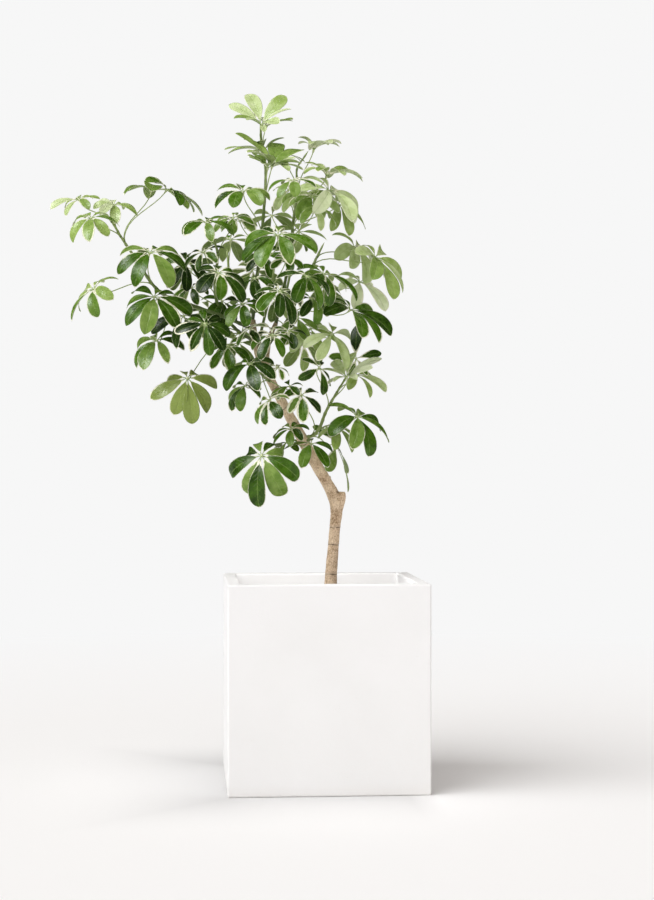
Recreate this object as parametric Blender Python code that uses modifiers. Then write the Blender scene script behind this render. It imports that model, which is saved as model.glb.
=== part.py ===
"""Potted umbrella tree: a bent trunk with palmate leaves, growing in a white cube planter.

Metres, +Z up, origin at the middle of the planter's underside, +X to the right along its front and
+Y away from the viewer. Builds one object for each sub-part, with its own material.
"""

import math
from collections import namedtuple

import bmesh
import bpy
from mathutils import Matrix, Vector

CM = 0.01
MM = 0.001

# Planter
PLANTER_SIDE = 360 * MM
PLANTER_HEIGHT = 373.5 * MM
PLANTER_WALL = 22.7 * MM
PLANTER_FLOOR = 25 * MM
PLANTER_EDGE_RADIUS = 3 * MM
PLANTER_INSIDE_RADIUS = 6 * MM
CORNER_SEGMENTS = 3
EDGE_SEGMENTS = 2
SHARP_ANGLE = math.radians(60)
ABOVE_RIM = 50 * MM

# Soil: its level, the height of its bumps with their waves in radians a metre along x and y, and the
# height and reach of the mound round the trunk
SOIL_BELOW_RIM = 44 * MM
SOIL_BUMP = 2.5 * MM
SOIL_WAVE = (61, 23)
SOIL_CROSS_WAVE = (-19, 47)
SOIL_MOUND = 5 * MM
SOIL_MOUND_REACH = 77.5 * MM
SOIL_CELLS = 11
SOIL_CUTTER_DEPTH = 100 * MM
GAP = 0.3 * MM

# The trunk, its fork and the stump of its old leader: across, height, depth and radius in cm.
# Across and height are read on the upright plane y = 0, as the eye point sees them.
EYE = Vector((-0.2548, -3.5376, 0.5945))
TRUNK = (
    (1.25, 27.5, 0.0, 1.20),
    (1.45, 36.0, 0.0, 1.16),
    (1.80, 41.0, 0.0, 1.06),
    (2.20, 46.0, 0.0, 1.00),
    (2.55, 49.6, 0.0, 1.10),
    (2.20, 52.2, 0.0, 1.20),
    (0.95, 54.8, -0.2, 1.06),
    (-0.60, 57.4, -0.5, 1.05),
    (-2.20, 60.2, -0.8, 1.06),
    (-3.80, 63.2, -1.0, 1.04),
    (-5.50, 66.2, -1.0, 0.98),
    (-7.20, 69.4, -0.8, 0.91),
    (-8.80, 72.4, -0.4, 0.84),
    (-10.40, 75.6, 0.0, 0.78),
    (-11.90, 78.8, 0.3, 0.70),
    (-12.60, 82.0, 0.4, 0.62),
    (-13.00, 85.2, 0.4, 0.55),
)
FORK = (
    (-10.10, 75.0, 0.0, 0.50),
    (-10.35, 78.2, 1.3, 0.52),
    (-9.90, 81.6, 2.0, 0.48),
    (-8.70, 84.6, 2.4, 0.42),
)
STUMP = (
    (2.60, 50.0, 0.0, 0.80),
    (3.05, 51.8, 0.1, 1.04),
    (3.25, 52.8, 0.1, 1.04),
    (3.40, 53.4, 0.1, 0.88),
)

# Roundness of the tubes, as a curve's bevel resolution
TRUNK_ROUND = 3
FORK_ROUND = 2
STEM_ROUND = 1
PETIOLE_ROUND = 0
WELD = 0.01 * MM

# Petioles: each grows from the point of its stem, past a bare first part, that is nearest to a place
# under the leaf. Their share of the way to the hub at the root, and the parts of their reach over
# which they curve at either end.
SAMPLES_PER_STRETCH = 10
BARE_PART = 1 / 6
BELOW_LEAF = 4 * CM
LOWER_DOWN = 3 * CM
WAY_TO_HUB = 0.8
ROOT_CURVE = 0.4
HUB_CURVE = 0.35
PETIOLE_STRETCHES = 3
PETIOLE_RADIUS = 1.1 * MM
PETIOLE_SINK = 0.1 * MM

# Leaflets: parts of their length where the blade is measured, and its half width there, less where
# they stand close. Those on a leaf's uphill side are shorter and bend back further, those at its
# sides sag downhill, and all differ a little by ripples round the leaf.
BLADE_AT = (0.42, 0.78)
BLADE_HALF_WIDTH = (0.150, 0.172)
CROWDED = 0.88
UPHILL_SHORTER = 0.40
UPHILL_BEND = 0.45
SAG = 0.30
RIPPLES = 5
LENGTH_RIPPLE = 0.06
BEND_RIPPLE = 0.15
BLADE_THICKNESS = 0.8 * MM
HUB_RADIUS = 4.2 * MM

# A palmate leaf: its hub across, height and depth in cm; tilt of its face from level and the way
# that the face leans, in degrees (0 to the viewer, 90 to the right); turn of its first leaflet from
# downhill; number of leaflets and their length in cm; and the angle by which a leaflet first rises
# over the leaf's plane and then bends back.
Leaf = namedtuple("Leaf", "across height depth tilt toward turn leaflets length lift bend")
Spray = namedtuple("Spray", "stem leaves")

SPRAYS = {
    "leader_stem": Spray(
        stem=(
            (-13.0, 84.6, 0.4, 0.40),
            (-12.4, 91.0, 0.5, 0.42),
            (-11.5, 99.0, 0.5, 0.38),
            (-10.8, 107.0, 0.2, 0.34),
            (-10.6, 113.0, 0.0, 0.30),
            (-11.4, 118.0, 0.0, 0.26),
            (-11.5, 120.4, 0.0, 0.22),
        ),
        leaves=(
            Leaf(-11.4, 121.2, -0.2, -35, 176, 8, 8, 8.2, 40, 30),
            Leaf(-10.4, 121.0, 5.0, 20, 66, 0, 7, 5.6, 42, 30),
            Leaf(-9.4, 113.5, -6.0, -22, -140, 0, 9, 9.6, 40, 34),
            Leaf(-14.7, 108.8, -4.0, 32, -4, -16, 7, 7.4, 30, 76),
            Leaf(-15.3, 103.4, 1.0, 30, -20, -15, 6, 5.2, 20, 65),
            Leaf(-8.3, 100.8, -13.0, 36, -8, 22, 9, 9.2, 24, 84),
        ),
    ),
    "second_stem": Spray(
        stem=(
            (-8.7, 84.2, 2.4, 0.36),
            (-7.2, 91.0, 2.6, 0.38),
            (-6.0, 98.0, 2.4, 0.34),
            (-5.4, 104.0, 2.0, 0.30),
            (-4.6, 109.0, 1.6, 0.27),
            (-4.8, 113.0, 1.6, 0.24),
            (-3.4, 115.4, 1.8, 0.20),
        ),
        leaves=(
            Leaf(-1.7, 116.6, 2.0, 18, 52, 10, 8, 6.6, 60, 76),
            Leaf(-6.5, 115.8, 3.0, 20, 60, 0, 5, 3.6, 15, 30),
            Leaf(0.7, 111.8, -3.0, 22, 48, 10, 9, 8.0, 48, 66),
            Leaf(1.1, 109.2, -6.0, 46, 46, -10, 8, 9.2, 26, 70),
            Leaf(-1.4, 105.9, -8.0, 36, 20, 5, 7, 6.0, 20, 84),
            Leaf(-3.4, 108.4, 4.0, 36, -26, 20, 7, 6.4, 22, 70),
            Leaf(-5.6, 111.0, -14.0, 30, -20, 30, 7, 5.6, 24, 66),
            Leaf(-6.3, 109.3, 9.0, 50, 20, 0, 5, 6.0, 10, 70),
        ),
    ),
    "right_stem": Spray(
        stem=(
            (-9.9, 80.8, 1.4, 0.36),
            (-6.4, 85.4, -1.0, 0.36),
            (-4.4, 90.0, -1.8, 0.33),
            (-2.0, 95.0, -2.0, 0.29),
            (-0.3, 98.4, -1.6, 0.24),
        ),
        leaves=(
            Leaf(5.9, 98.8, 2.0, 50, 52, -6, 8, 8.0, 24, 62),
            Leaf(9.7, 96.9, -4.5, 52, 52, -8, 8, 9.0, 26, 56),
            Leaf(6.9, 92.3, 1.5, 44, 36, 10, 7, 7.4, 22, 70),
            Leaf(0.1, 93.7, -7.0, 38, 44, -14, 8, 8.2, 24, 80),
            Leaf(5.1, 87.1, -4.0, 46, 54, 0, 7, 10.2, 28, 60),
            Leaf(-3.0, 93.3, -17.5, 38, 30, 15, 6, 7.2, 16, 80),
            Leaf(-2.2, 89.2, -9.0, 44, 36, 15, 6, 5.8, 14, 80),
            Leaf(-4.6, 85.6, -4.0, 52, -20, 20, 5, 5.2, 8, 66),
            Leaf(1.7, 82.6, -6.0, 50, 24, 5, 7, 7.4, 10, 60),
            Leaf(-2.2, 83.6, 0.0, 52, 0, 15, 6, 6.2, 8, 55),
        ),
    ),
    "low_right_stem": Spray(
        stem=(
            (-4.0, 63.4, -1.0, 0.42),
            (-1.8, 63.8, -1.4, 0.42),
            (-0.5, 65.4, -1.6, 0.40),
            (0.6, 68.2, -1.6, 0.36),
            (2.4, 71.4, -1.2, 0.30),
            (4.0, 74.0, -1.0, 0.24),
        ),
        leaves=(
            Leaf(4.5, 74.6, -3.0, -25, 150, 4, 8, 7.6, 34, 32),
            Leaf(6.2, 75.0, 6.0, 40, 46, -10, 7, 6.8, 24, 60),
            Leaf(6.2, 78.1, 5.5, -68, 172, 6, 5, 6.6, 14, 24),
            Leaf(6.3, 67.3, -5.0, 46, 40, 0, 8, 9.0, 20, 70),
            Leaf(2.6, 65.3, -3.0, 30, 34, 20, 6, 6.0, 10, 70),
            Leaf(2.3, 62.3, 5.0, 70, 76, 0, 5, 9.4, 5, 30),
            Leaf(-0.6, 76.4, -5.0, 66, 44, 0, 5, 6.0, 5, 44),
            Leaf(-3.9, 71.3, -8.0, 52, 2, 6, 6, 5.6, 16, 62),
        ),
    ),
    "low_shoot": Spray(
        stem=(
            (-5.0, 65.2, -1.0, 0.34),
            (-5.6, 64.0, -2.8, 0.32),
            (-6.2, 63.0, -4.6, 0.28),
        ),
        leaves=(
            Leaf(-2.1, 62.3, -6.0, 38, 6, -36, 5, 6.6, 20, 76),
            Leaf(-11.3, 60.1, -9.0, 60, -6, 2, 9, 9.0, 18, 74),
            Leaf(-6.5, 62.5, 1.6, 36, -50, 0, 5, 4.2, 20, 70),
            Leaf(-5.9, 65.0, -5.0, 32, -24, 15, 7, 5.2, 24, 74),
        ),
    ),
    "low_left_stem": Spray(
        stem=(
            (-9.4, 73.6, -0.2, 0.34),
            (-10.6, 74.4, -2.2, 0.33),
            (-11.4, 75.2, -4.4, 0.28),
        ),
        leaves=(
            Leaf(-9.9, 70.3, -10.5, 46, -44, 5, 6, 5.8, 12, 64),
            Leaf(-14.3, 73.0, -4.0, 38, -44, -15, 7, 6.0, 20, 76),
            Leaf(-13.4, 76.9, -9.0, 34, -30, -20, 7, 7.8, 24, 80),
        ),
    ),
    "left_arm": Spray(
        stem=(
            (-12.9, 83.4, 0.4, 0.42),
            (-17.0, 85.2, -0.6, 0.42),
            (-23.0, 87.4, -1.6, 0.40),
            (-28.4, 89.2, -2.6, 0.38),
            (-31.4, 91.6, -3.0, 0.36),
            (-34.0, 95.6, -2.6, 0.33),
            (-36.6, 99.4, -2.2, 0.29),
            (-38.8, 103.0, -2.0, 0.24),
        ),
        leaves=(
            Leaf(-44.8, 107.0, 0.0, 32, -30, 0, 7, 5.6, 26, 62),
            Leaf(-42.6, 103.7, -5.0, 38, -14, 0, 7, 7.0, 22, 80),
            Leaf(-38.4, 106.1, 2.0, 34, 10, 0, 8, 5.8, 28, 75),
            Leaf(-31.6, 108.8, 0.0, 12, 72, -10, 6, 9.6, 28, 64),
            Leaf(-31.9, 97.4, -8.0, 36, 16, 15, 8, 9.2, 24, 82),
            Leaf(-31.1, 89.3, -8.0, 44, 4, -12, 8, 8.6, 18, 66),
            Leaf(-42.1, 90.7, -3.0, 48, -54, -10, 7, 7.6, 20, 72),
            Leaf(-30.6, 81.3, -5.0, 42, -24, 0, 7, 7.4, 18, 74),
            Leaf(-14.8, 88.1, -8.0, 40, -24, -25, 7, 5.8, 18, 74),
        ),
    ),
    "middle_stem": Spray(
        stem=(
            (-12.4, 81.0, 0.4, 0.36),
            (-16.0, 83.4, 2.4, 0.37),
            (-19.2, 87.4, 2.2, 0.36),
            (-20.0, 92.0, 1.0, 0.33),
            (-19.4, 97.0, 0.0, 0.29),
            (-20.4, 100.6, -1.6, 0.24),
        ),
        leaves=(
            Leaf(-21.6, 103.1, -5.0, 32, -12, -28, 7, 6.8, 26, 76),
            Leaf(-19.3, 93.8, -9.0, 38, 12, -5, 8, 7.2, 20, 78),
            Leaf(-24.2, 91.0, 2.0, 38, -40, -5, 6, 5.2, 18, 70),
            Leaf(-21.8, 84.4, -12.0, 58, 4, 2, 8, 6.8, 10, 44),
            Leaf(-25.0, 74.4, -6.0, 56, 4, 12, 8, 9.0, -6, 40),
            Leaf(-25.7, 85.8, -6.0, 46, -20, -12, 7, 6.8, 14, 60),
            Leaf(-22.0, 97.6, 0.0, 36, -40, 10, 6, 5.6, 18, 64),
        ),
    ),
    "centre_stem": Spray(
        stem=(
            (-11.9, 79.2, 0.2, 0.34),
            (-11.4, 83.0, -2.8, 0.35),
            (-10.2, 88.0, -4.6, 0.32),
            (-9.4, 92.0, -5.4, 0.28),
            (-9.0, 95.0, -6.0, 0.24),
        ),
        leaves=(
            Leaf(-7.9, 90.5, -19.0, 42, 16, -18, 7, 6.6, 18, 76),
            Leaf(-12.6, 92.8, -5.5, 34, -24, 15, 6, 6.0, 22, 76),
            Leaf(-9.3, 82.4, -9.0, 44, -10, -15, 7, 5.8, 16, 70),
            Leaf(-13.4, 83.6, -6.0, 42, -40, -30, 5, 4.8, 14, 60),
        ),
    ),
    "back_left_stem": Spray(
        stem=(
            (-13.0, 84.2, 0.5, 0.34),
            (-14.6, 87.6, 5.0, 0.35),
            (-17.0, 92.0, 8.4, 0.32),
            (-17.6, 97.0, 9.8, 0.27),
        ),
        leaves=(
            Leaf(-24.0, 94.5, 12.0, 40, 200, 0, 7, 7.0, 15, 55),
            Leaf(-17.0, 100.0, 13.0, 30, 180, 20, 7, 7.0, 15, 50),
            Leaf(-21.0, 87.0, 13.0, 45, 190, 10, 7, 7.0, 12, 50),
            Leaf(-13.0, 94.5, 15.0, 45, 170, -10, 7, 6.8, 12, 50),
            Leaf(-15.5, 81.0, 11.0, 50, 180, 20, 6, 6.6, 10, 50),
        ),
    ),
    "back_right_stem": Spray(
        stem=(
            (-9.2, 83.2, 2.4, 0.32),
            (-8.0, 87.0, 6.4, 0.34),
            (-6.4, 92.0, 9.2, 0.31),
            (-5.6, 98.0, 10.2, 0.26),
        ),
        leaves=(
            Leaf(-4.4, 101.5, 13.0, 30, 170, 10, 7, 7.0, 15, 50),
            Leaf(0.0, 91.5, 12.0, 45, 150, 0, 7, 6.8, 12, 55),
            Leaf(-8.6, 89.5, 17.0, 50, 180, 10, 7, 6.8, 12, 50),
            Leaf(-3.6, 80.8, 12.0, 50, 160, 0, 6, 6.4, 10, 55),
            Leaf(-9.4, 104.5, 10.0, 35, 190, 0, 6, 6.4, 15, 50),
        ),
    ),
}

COLOURS = {
    "planter": (0.86, 0.85, 0.83, 1.0),
    "soil": (0.075, 0.050, 0.034, 1.0),
    "trunk": (0.46, 0.34, 0.23, 1.0),
    "leader_stem": (0.13, 0.26, 0.06, 1.0),
    "second_stem": (0.24, 0.36, 0.11, 1.0),
    "right_stem": (0.20, 0.33, 0.09, 1.0),
    "low_right_stem": (0.17, 0.30, 0.07, 1.0),
    "low_shoot": (0.09, 0.22, 0.04, 1.0),
    "low_left_stem": (0.10, 0.24, 0.05, 1.0),
    "left_arm": (0.12, 0.26, 0.06, 1.0),
    "middle_stem": (0.08, 0.20, 0.04, 1.0),
    "centre_stem": (0.08, 0.20, 0.04, 1.0),
    "back_left_stem": (0.09, 0.21, 0.04, 1.0),
    "back_right_stem": (0.11, 0.23, 0.05, 1.0),
}
ROUGHNESS = {"planter": 0.75, "soil": 0.95, "trunk": 0.8}
LEAF_ROUGHNESS = 0.4


# Scene, collections and materials

def clear_scene():
    for item in list(bpy.context.scene.objects):
        bpy.data.objects.remove(item, do_unlink=True)


def new_collection(name):
    group = bpy.data.collections.new(name)
    bpy.context.scene.collection.children.link(group)
    return group


def material(name):
    made = bpy.data.materials.new(name)
    made.use_nodes = True
    shader = made.node_tree.nodes["Principled BSDF"]
    shader.inputs["Base Color"].default_value = COLOURS[name]
    shader.inputs["Roughness"].default_value = ROUGHNESS.get(name, LEAF_ROUGHNESS)
    shader.inputs["Metallic"].default_value = 0.0
    made.diffuse_color = COLOURS[name]
    return made


def new_object(name, data, group):
    made = bpy.data.objects.new(name, data)
    group.objects.link(made)
    return made


def finish(part):
    part.data.materials.clear()
    part.data.materials.append(material(part.name))


def remove(item):
    mesh = item.data
    bpy.data.objects.remove(item, do_unlink=True)
    bpy.data.meshes.remove(mesh)


# Modifiers and Booleans

def apply_modifiers(part):
    """Replace the part's mesh by what its modifiers make of it."""
    graph = bpy.context.evaluated_depsgraph_get()
    made = bpy.data.meshes.new_from_object(part.evaluated_get(graph), depsgraph=graph)
    old = part.data
    part.modifiers.clear()
    part.data = made
    bpy.data.meshes.remove(old)
    made.name = part.name


def thicken(part, thickness, offset):
    solid = part.modifiers.new("thicken", "SOLIDIFY")
    solid.thickness = thickness
    solid.offset = offset


def join(part, group):
    """Fuse all the objects of a collection to a part, then remove them."""
    union = part.modifiers.new("join", "BOOLEAN")
    union.operation = "UNION"
    union.operand_type = "COLLECTION"
    union.collection = group
    union.solver = "MANIFOLD"
    apply_modifiers(part)
    for item in list(group.objects):
        remove(item)
    bpy.data.collections.remove(group)


def cut(part, cutter):
    difference = part.modifiers.new("cut", "BOOLEAN")
    difference.operation = "DIFFERENCE"
    difference.object = cutter
    difference.solver = "MANIFOLD"
    apply_modifiers(part)


# Places, boxes and tubes

def seen(across, height, depth):
    """Point that the eye sees at (across, height) cm on the plane y = 0, depth cm behind it."""
    on_plane = Vector((across * CM, 0.0, height * CM))
    share = (depth * CM - EYE.y) / -EYE.y
    return EYE + (on_plane - EYE) * share


def route(rows):
    """Centre points and radii, in metres, of a stem's rows."""
    points = [seen(across, height, depth) for across, height, depth, radius in rows]
    radii = [radius * CM for across, height, depth, radius in rows]
    return points, radii


def box(name, low, high, group):
    """Box between two corners."""
    form = bmesh.new()
    size = Matrix.Diagonal(high - low).to_4x4()
    bmesh.ops.create_cube(form, size=1.0, matrix=Matrix.Translation((low + high) / 2) @ size)
    mesh = bpy.data.meshes.new(name)
    form.to_mesh(mesh)
    form.free()
    return new_object(name, mesh, group)


def round_upright_edges(part, radius):
    form = bmesh.new()
    form.from_mesh(part.data)
    edges = [edge for edge in form.edges if abs(edge.verts[0].co.z - edge.verts[1].co.z) > radius]
    bmesh.ops.bevel(form, geom=edges, offset=radius, segments=CORNER_SEGMENTS, profile=0.5, affect="EDGES")
    form.to_mesh(part.data)
    form.free()


def soften_edges(part, radius):
    """Round a part's sharp edges."""
    soften = part.modifiers.new("soften", "BEVEL")
    soften.width = radius
    soften.segments = EDGE_SEGMENTS
    soften.limit_method = "ANGLE"
    soften.angle_limit = SHARP_ANGLE
    apply_modifiers(part)


def tube_curve(name, roundness):
    """Curve that fills out to the radius of each of its points, with closed ends."""
    curve = bpy.data.curves.new(name, "CURVE")
    curve.dimensions = "3D"
    curve.bevel_depth = 1.0
    curve.bevel_resolution = roundness
    curve.use_fill_caps = True
    return curve


def curve_to_mesh(name, curve, group):
    """Mesh object of a curve, with the curve's loose caps welded on."""
    line = new_object(name + "_line", curve, group)
    graph = bpy.context.evaluated_depsgraph_get()
    mesh = bpy.data.meshes.new_from_object(line.evaluated_get(graph), depsgraph=graph)
    form = bmesh.new()
    form.from_mesh(mesh)
    bmesh.ops.remove_doubles(form, verts=form.verts, dist=WELD)
    form.to_mesh(mesh)
    form.free()
    bpy.data.objects.remove(line, do_unlink=True)
    bpy.data.curves.remove(curve)
    return new_object(name, mesh, group)


def stem_tube(name, rows, roundness, group, extra=0.0):
    """Tube through a stem's rows, wider all round and longer at both ends by the extra."""
    points, radii = route(rows)
    points[0] = points[0] + (points[0] - points[1]).normalized() * extra
    points[-1] = points[-1] + (points[-1] - points[-2]).normalized() * extra
    curve = tube_curve(name, roundness)
    line = curve.splines.new("POLY")
    line.points.add(len(points) - 1)
    for knot, point, radius in zip(line.points, points, radii):
        knot.co = (*point, 1.0)
        knot.radius = radius + extra
    return curve_to_mesh(name, curve, group)


# Leaves

def leaf_axes(leaf):
    """Downhill, sideways and upward unit vectors of a leaf's plane."""
    tilt = math.radians(leaf.tilt)
    toward = math.radians(leaf.toward)
    lean = Vector((math.sin(toward), -math.cos(toward), 0.0))
    upward = lean * math.sin(tilt) + Vector((0.0, 0.0, math.cos(tilt)))
    downhill = lean * math.cos(tilt) - Vector((0.0, 0.0, math.sin(tilt)))
    return downhill, upward.cross(downhill), upward


def leaflet_turns(leaf):
    """Angles of a leaf's leaflets from downhill, evenly shared out and then sagging with the tilt."""
    step = 2 * math.pi / leaf.leaflets
    even = [math.radians(leaf.turn) + step * i for i in range(leaf.leaflets)]
    return [turn - SAG * math.sin(math.radians(leaf.tilt)) * math.sin(turn) for turn in even]


def leaflet_form(leaf, turn):
    """Length and bend of the leaflet at a turn, with a little difference from one to the next."""
    uphill = (1 - math.cos(turn)) / 2
    ripple = math.sin(RIPPLES * turn + leaf.across)
    length = leaf.length * CM * (1 - UPHILL_SHORTER * uphill) * (1 + LENGTH_RIPPLE * ripple)
    bend = math.radians(leaf.bend) * (1 + UPHILL_BEND * uphill) * (1 - BEND_RIPPLE * ripple)
    return length, bend


def leaflet_point(leaf, length, bend, part):
    """How far out and up a leaflet's arc of even bend has come at a part of its length."""
    lift = math.radians(leaf.lift)
    angle = lift - bend * part
    out = (math.sin(lift) - math.sin(angle)) / bend * length
    rise = (math.cos(angle) - math.cos(lift)) / bend * length
    return out, rise


def blade_sheet(leaf):
    """Open sheet of a leaf: leaflets round one small flat hub, each a fan of five triangles."""
    downhill, sideways, upward = leaf_axes(leaf)
    turns = leaflet_turns(leaf)
    count = len(turns)
    before = [turns[-1] - 2 * math.pi] + turns[:-1]
    spacing = min(turn - last for turn, last in zip(turns, before))
    vertices = []
    for turn, last in zip(turns, before):
        middle = (turn + last) / 2
        vertices.append((downhill * math.cos(middle) + sideways * math.sin(middle)) * HUB_RADIUS)
    faces = [tuple(range(count))]
    for i, turn in enumerate(turns):
        length, bend = leaflet_form(leaf, turn)
        along = downhill * math.cos(turn) + sideways * math.sin(turn)
        across = upward.cross(along)
        first = len(vertices)
        for part, width in zip(BLADE_AT, BLADE_HALF_WIDTH):
            out, rise = leaflet_point(leaf, length, bend, part)
            reach = length * min(width, part * math.tan(spacing / 2) * CROWDED)
            vertices.append(along * out + upward * rise - across * reach)
            vertices.append(along * out + upward * rise + across * reach)
        out, rise = leaflet_point(leaf, length, bend, 1.0)
        vertices.append(along * out + upward * rise)
        left, right = i, (i + 1) % count
        low_left, low_right, high_left, high_right, tip = range(first, first + 5)
        faces += [(left, low_right, right), (left, low_left, low_right)]
        faces += [(low_left, high_right, low_right), (low_left, high_left, high_right)]
        faces.append((high_left, tip, high_right))
    return vertices, faces


def build_blade(leaf, hub, group):
    vertices, faces = blade_sheet(leaf)
    mesh = bpy.data.meshes.new("blade")
    mesh.from_pydata(vertices, [], faces)
    blade = new_object("blade", mesh, group)
    blade.location = hub
    thicken(blade, BLADE_THICKNESS, 0.0)
    return blade


def stem_samples(points):
    """Points along a stem past its bare first part, and its direction at each."""
    samples = []
    for a, b in zip(points, points[1:]):
        for k in range(SAMPLES_PER_STRETCH):
            samples.append((a.lerp(b, k / SAMPLES_PER_STRETCH), (b - a).normalized()))
    samples.append((points[-1], (points[-1] - points[-2]).normalized()))
    return samples[int(len(samples) * BARE_PART):]


def build_petiole(leaf, hub, samples, group):
    """Arching stalk from the stem's point that lies nearest to the leaf's underside, to its hub."""
    upward = leaf_axes(leaf)[2]
    target = hub - upward * BELOW_LEAF - Vector((0.0, 0.0, LOWER_DOWN))
    root, stem_way = min(samples, key=lambda sample: (sample[0] - target).length)
    reach = (hub - root).length
    leave = (stem_way + (hub - root) / reach * WAY_TO_HUB).normalized()
    end = hub - upward * PETIOLE_SINK
    curve = tube_curve("petiole", PETIOLE_ROUND)
    line = curve.splines.new("BEZIER")
    line.resolution_u = PETIOLE_STRETCHES
    line.bezier_points.add(1)
    places = ((root, leave * reach * ROOT_CURVE), (end, upward * reach * HUB_CURVE))
    for knot, (place, handle) in zip(line.bezier_points, places):
        knot.co = place
        knot.handle_left = place - handle
        knot.handle_right = place + handle
        knot.radius = PETIOLE_RADIUS
    return curve_to_mesh("petiole", curve, group)


# Sub-parts

def build_planter(group, cutters):
    half = PLANTER_SIDE / 2
    planter = box("planter", Vector((-half, -half, 0.0)), Vector((half, half, PLANTER_HEIGHT)), group)
    inside = half - PLANTER_WALL
    low = Vector((-inside, -inside, PLANTER_FLOOR))
    high = Vector((inside, inside, PLANTER_HEIGHT + ABOVE_RIM))
    hollow = box("planter_hollow", low, high, cutters)
    round_upright_edges(hollow, PLANTER_INSIDE_RADIUS)
    cut(planter, hollow)
    soften_edges(planter, PLANTER_EDGE_RADIUS)
    finish(planter)


def build_soil_top(cutters):
    """Thick sheet over the soil, its underside in low bumps with a slight mound at the trunk."""
    form = bmesh.new()
    bmesh.ops.create_grid(form, x_segments=SOIL_CELLS, y_segments=SOIL_CELLS, size=PLANTER_SIDE / 2)
    for vertex in form.verts:
        place = vertex.co.xy
        bumps = math.sin(place.dot(SOIL_WAVE)) * math.cos(place.dot(SOIL_CROSS_WAVE))
        mound = math.exp(-place.length_squared / SOIL_MOUND_REACH ** 2)
        vertex.co.z = PLANTER_HEIGHT - SOIL_BELOW_RIM + SOIL_BUMP * bumps + SOIL_MOUND * mound
    bmesh.ops.triangulate(form, faces=form.faces)
    mesh = bpy.data.meshes.new("soil_top")
    form.to_mesh(mesh)
    form.free()
    top = new_object("soil_top", mesh, cutters)
    thicken(top, SOIL_CUTTER_DEPTH, 1.0)
    return top


def build_soil(group, cutters, room):
    """Fill of the planter, cut to its bumpy top, with a hole for the trunk."""
    half = PLANTER_SIDE / 2 - PLANTER_WALL - GAP
    low = Vector((-half, -half, PLANTER_FLOOR + GAP))
    soil = box("soil", low, Vector((half, half, PLANTER_HEIGHT)), group)
    round_upright_edges(soil, PLANTER_INSIDE_RADIUS)
    soften_edges(soil, PLANTER_EDGE_RADIUS)
    cut(soil, build_soil_top(cutters))
    cut(soil, room)
    finish(soil)


def build_trunk(group):
    trunk = stem_tube("trunk", TRUNK, TRUNK_ROUND, group)
    limbs = new_collection("limbs")
    stem_tube("fork", FORK, FORK_ROUND, limbs)
    stem_tube("stump", STUMP, TRUNK_ROUND, limbs)
    join(trunk, limbs)
    finish(trunk)


def build_room(cutters):
    """The trunk with its fork, larger by the gap all round, for what it stands in or carries."""
    room = stem_tube("trunk_room", TRUNK, TRUNK_ROUND, cutters, GAP)
    limbs = new_collection("room_limbs")
    stem_tube("fork_room", FORK, FORK_ROUND, limbs, GAP)
    join(room, limbs)
    return room


def build_spray(name, group, room):
    """Stem with its petioles and leaves, fused, and cut to sit against the trunk."""
    spray = stem_tube(name, SPRAYS[name].stem, STEM_ROUND, group)
    samples = stem_samples(route(SPRAYS[name].stem)[0])
    pieces = new_collection(name + "_pieces")
    for leaf in SPRAYS[name].leaves:
        hub = seen(leaf.across, leaf.height, leaf.depth)
        build_petiole(leaf, hub, samples, pieces)
        build_blade(leaf, hub, pieces)
    join(spray, pieces)
    cut(spray, room)
    finish(spray)


def main():
    clear_scene()
    group = new_collection("potted_umbrella_tree")
    cutters = new_collection("cutters")
    room = build_room(cutters)
    build_planter(group, cutters)
    build_soil(group, cutters, room)
    build_trunk(group)
    for name in SPRAYS:
        build_spray(name, group, room)
    for cutter in cutters.objects:
        cutter.hide_render = True
        cutter.display_type = "WIRE"


main()
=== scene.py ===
"""Looks of a potted umbrella tree: a white cube planter, a bent bare trunk and a crown of palmate leaves.

Metres, +Z up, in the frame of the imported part: its origin is the middle of the planter's underside,
+X runs along the planter's front and +Y away from the viewer. The pieces follow in the order in which
the real plant stands together, from the pot to the highest leaf.
"""

import math
from collections import namedtuple

import bpy
import numpy as np
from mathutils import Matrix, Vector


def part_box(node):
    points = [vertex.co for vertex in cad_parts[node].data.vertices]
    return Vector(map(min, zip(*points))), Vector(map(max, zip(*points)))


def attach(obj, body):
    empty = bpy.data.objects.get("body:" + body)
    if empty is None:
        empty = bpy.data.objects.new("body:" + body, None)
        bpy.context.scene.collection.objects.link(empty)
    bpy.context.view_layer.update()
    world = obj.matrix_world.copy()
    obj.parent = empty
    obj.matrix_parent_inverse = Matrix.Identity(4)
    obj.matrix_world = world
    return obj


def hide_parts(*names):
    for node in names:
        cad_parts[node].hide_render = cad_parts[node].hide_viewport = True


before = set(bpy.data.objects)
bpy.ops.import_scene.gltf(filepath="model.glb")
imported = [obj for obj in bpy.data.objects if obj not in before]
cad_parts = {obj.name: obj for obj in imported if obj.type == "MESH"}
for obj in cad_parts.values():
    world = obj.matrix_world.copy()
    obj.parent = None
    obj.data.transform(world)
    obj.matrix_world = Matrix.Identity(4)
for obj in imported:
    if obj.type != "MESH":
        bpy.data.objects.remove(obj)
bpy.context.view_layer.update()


# Planter
# A square cover pot, 36 cm wide, moulded in one piece from matt white plastic with a faintly clouded
# skin. Its rim and corners are barely rounded, and it stands on its own flat base.

DUST_HEIGHT = 0.022
SHADED_BELOW = 0.19
RIM_ABOVE = 0.3712
PLANTER_WHITE = (0.866, 0.862, 0.862, 1.0)
PLANTER_CLOUD_AND_SHADE = (0.824, 0.820, 0.814, 1.0)
PLANTER_FOOT = (0.760, 0.725, 0.690, 1.0)
PLANTER_RIM_SHADE = (0.830, 0.824, 0.822, 1.0)


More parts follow.
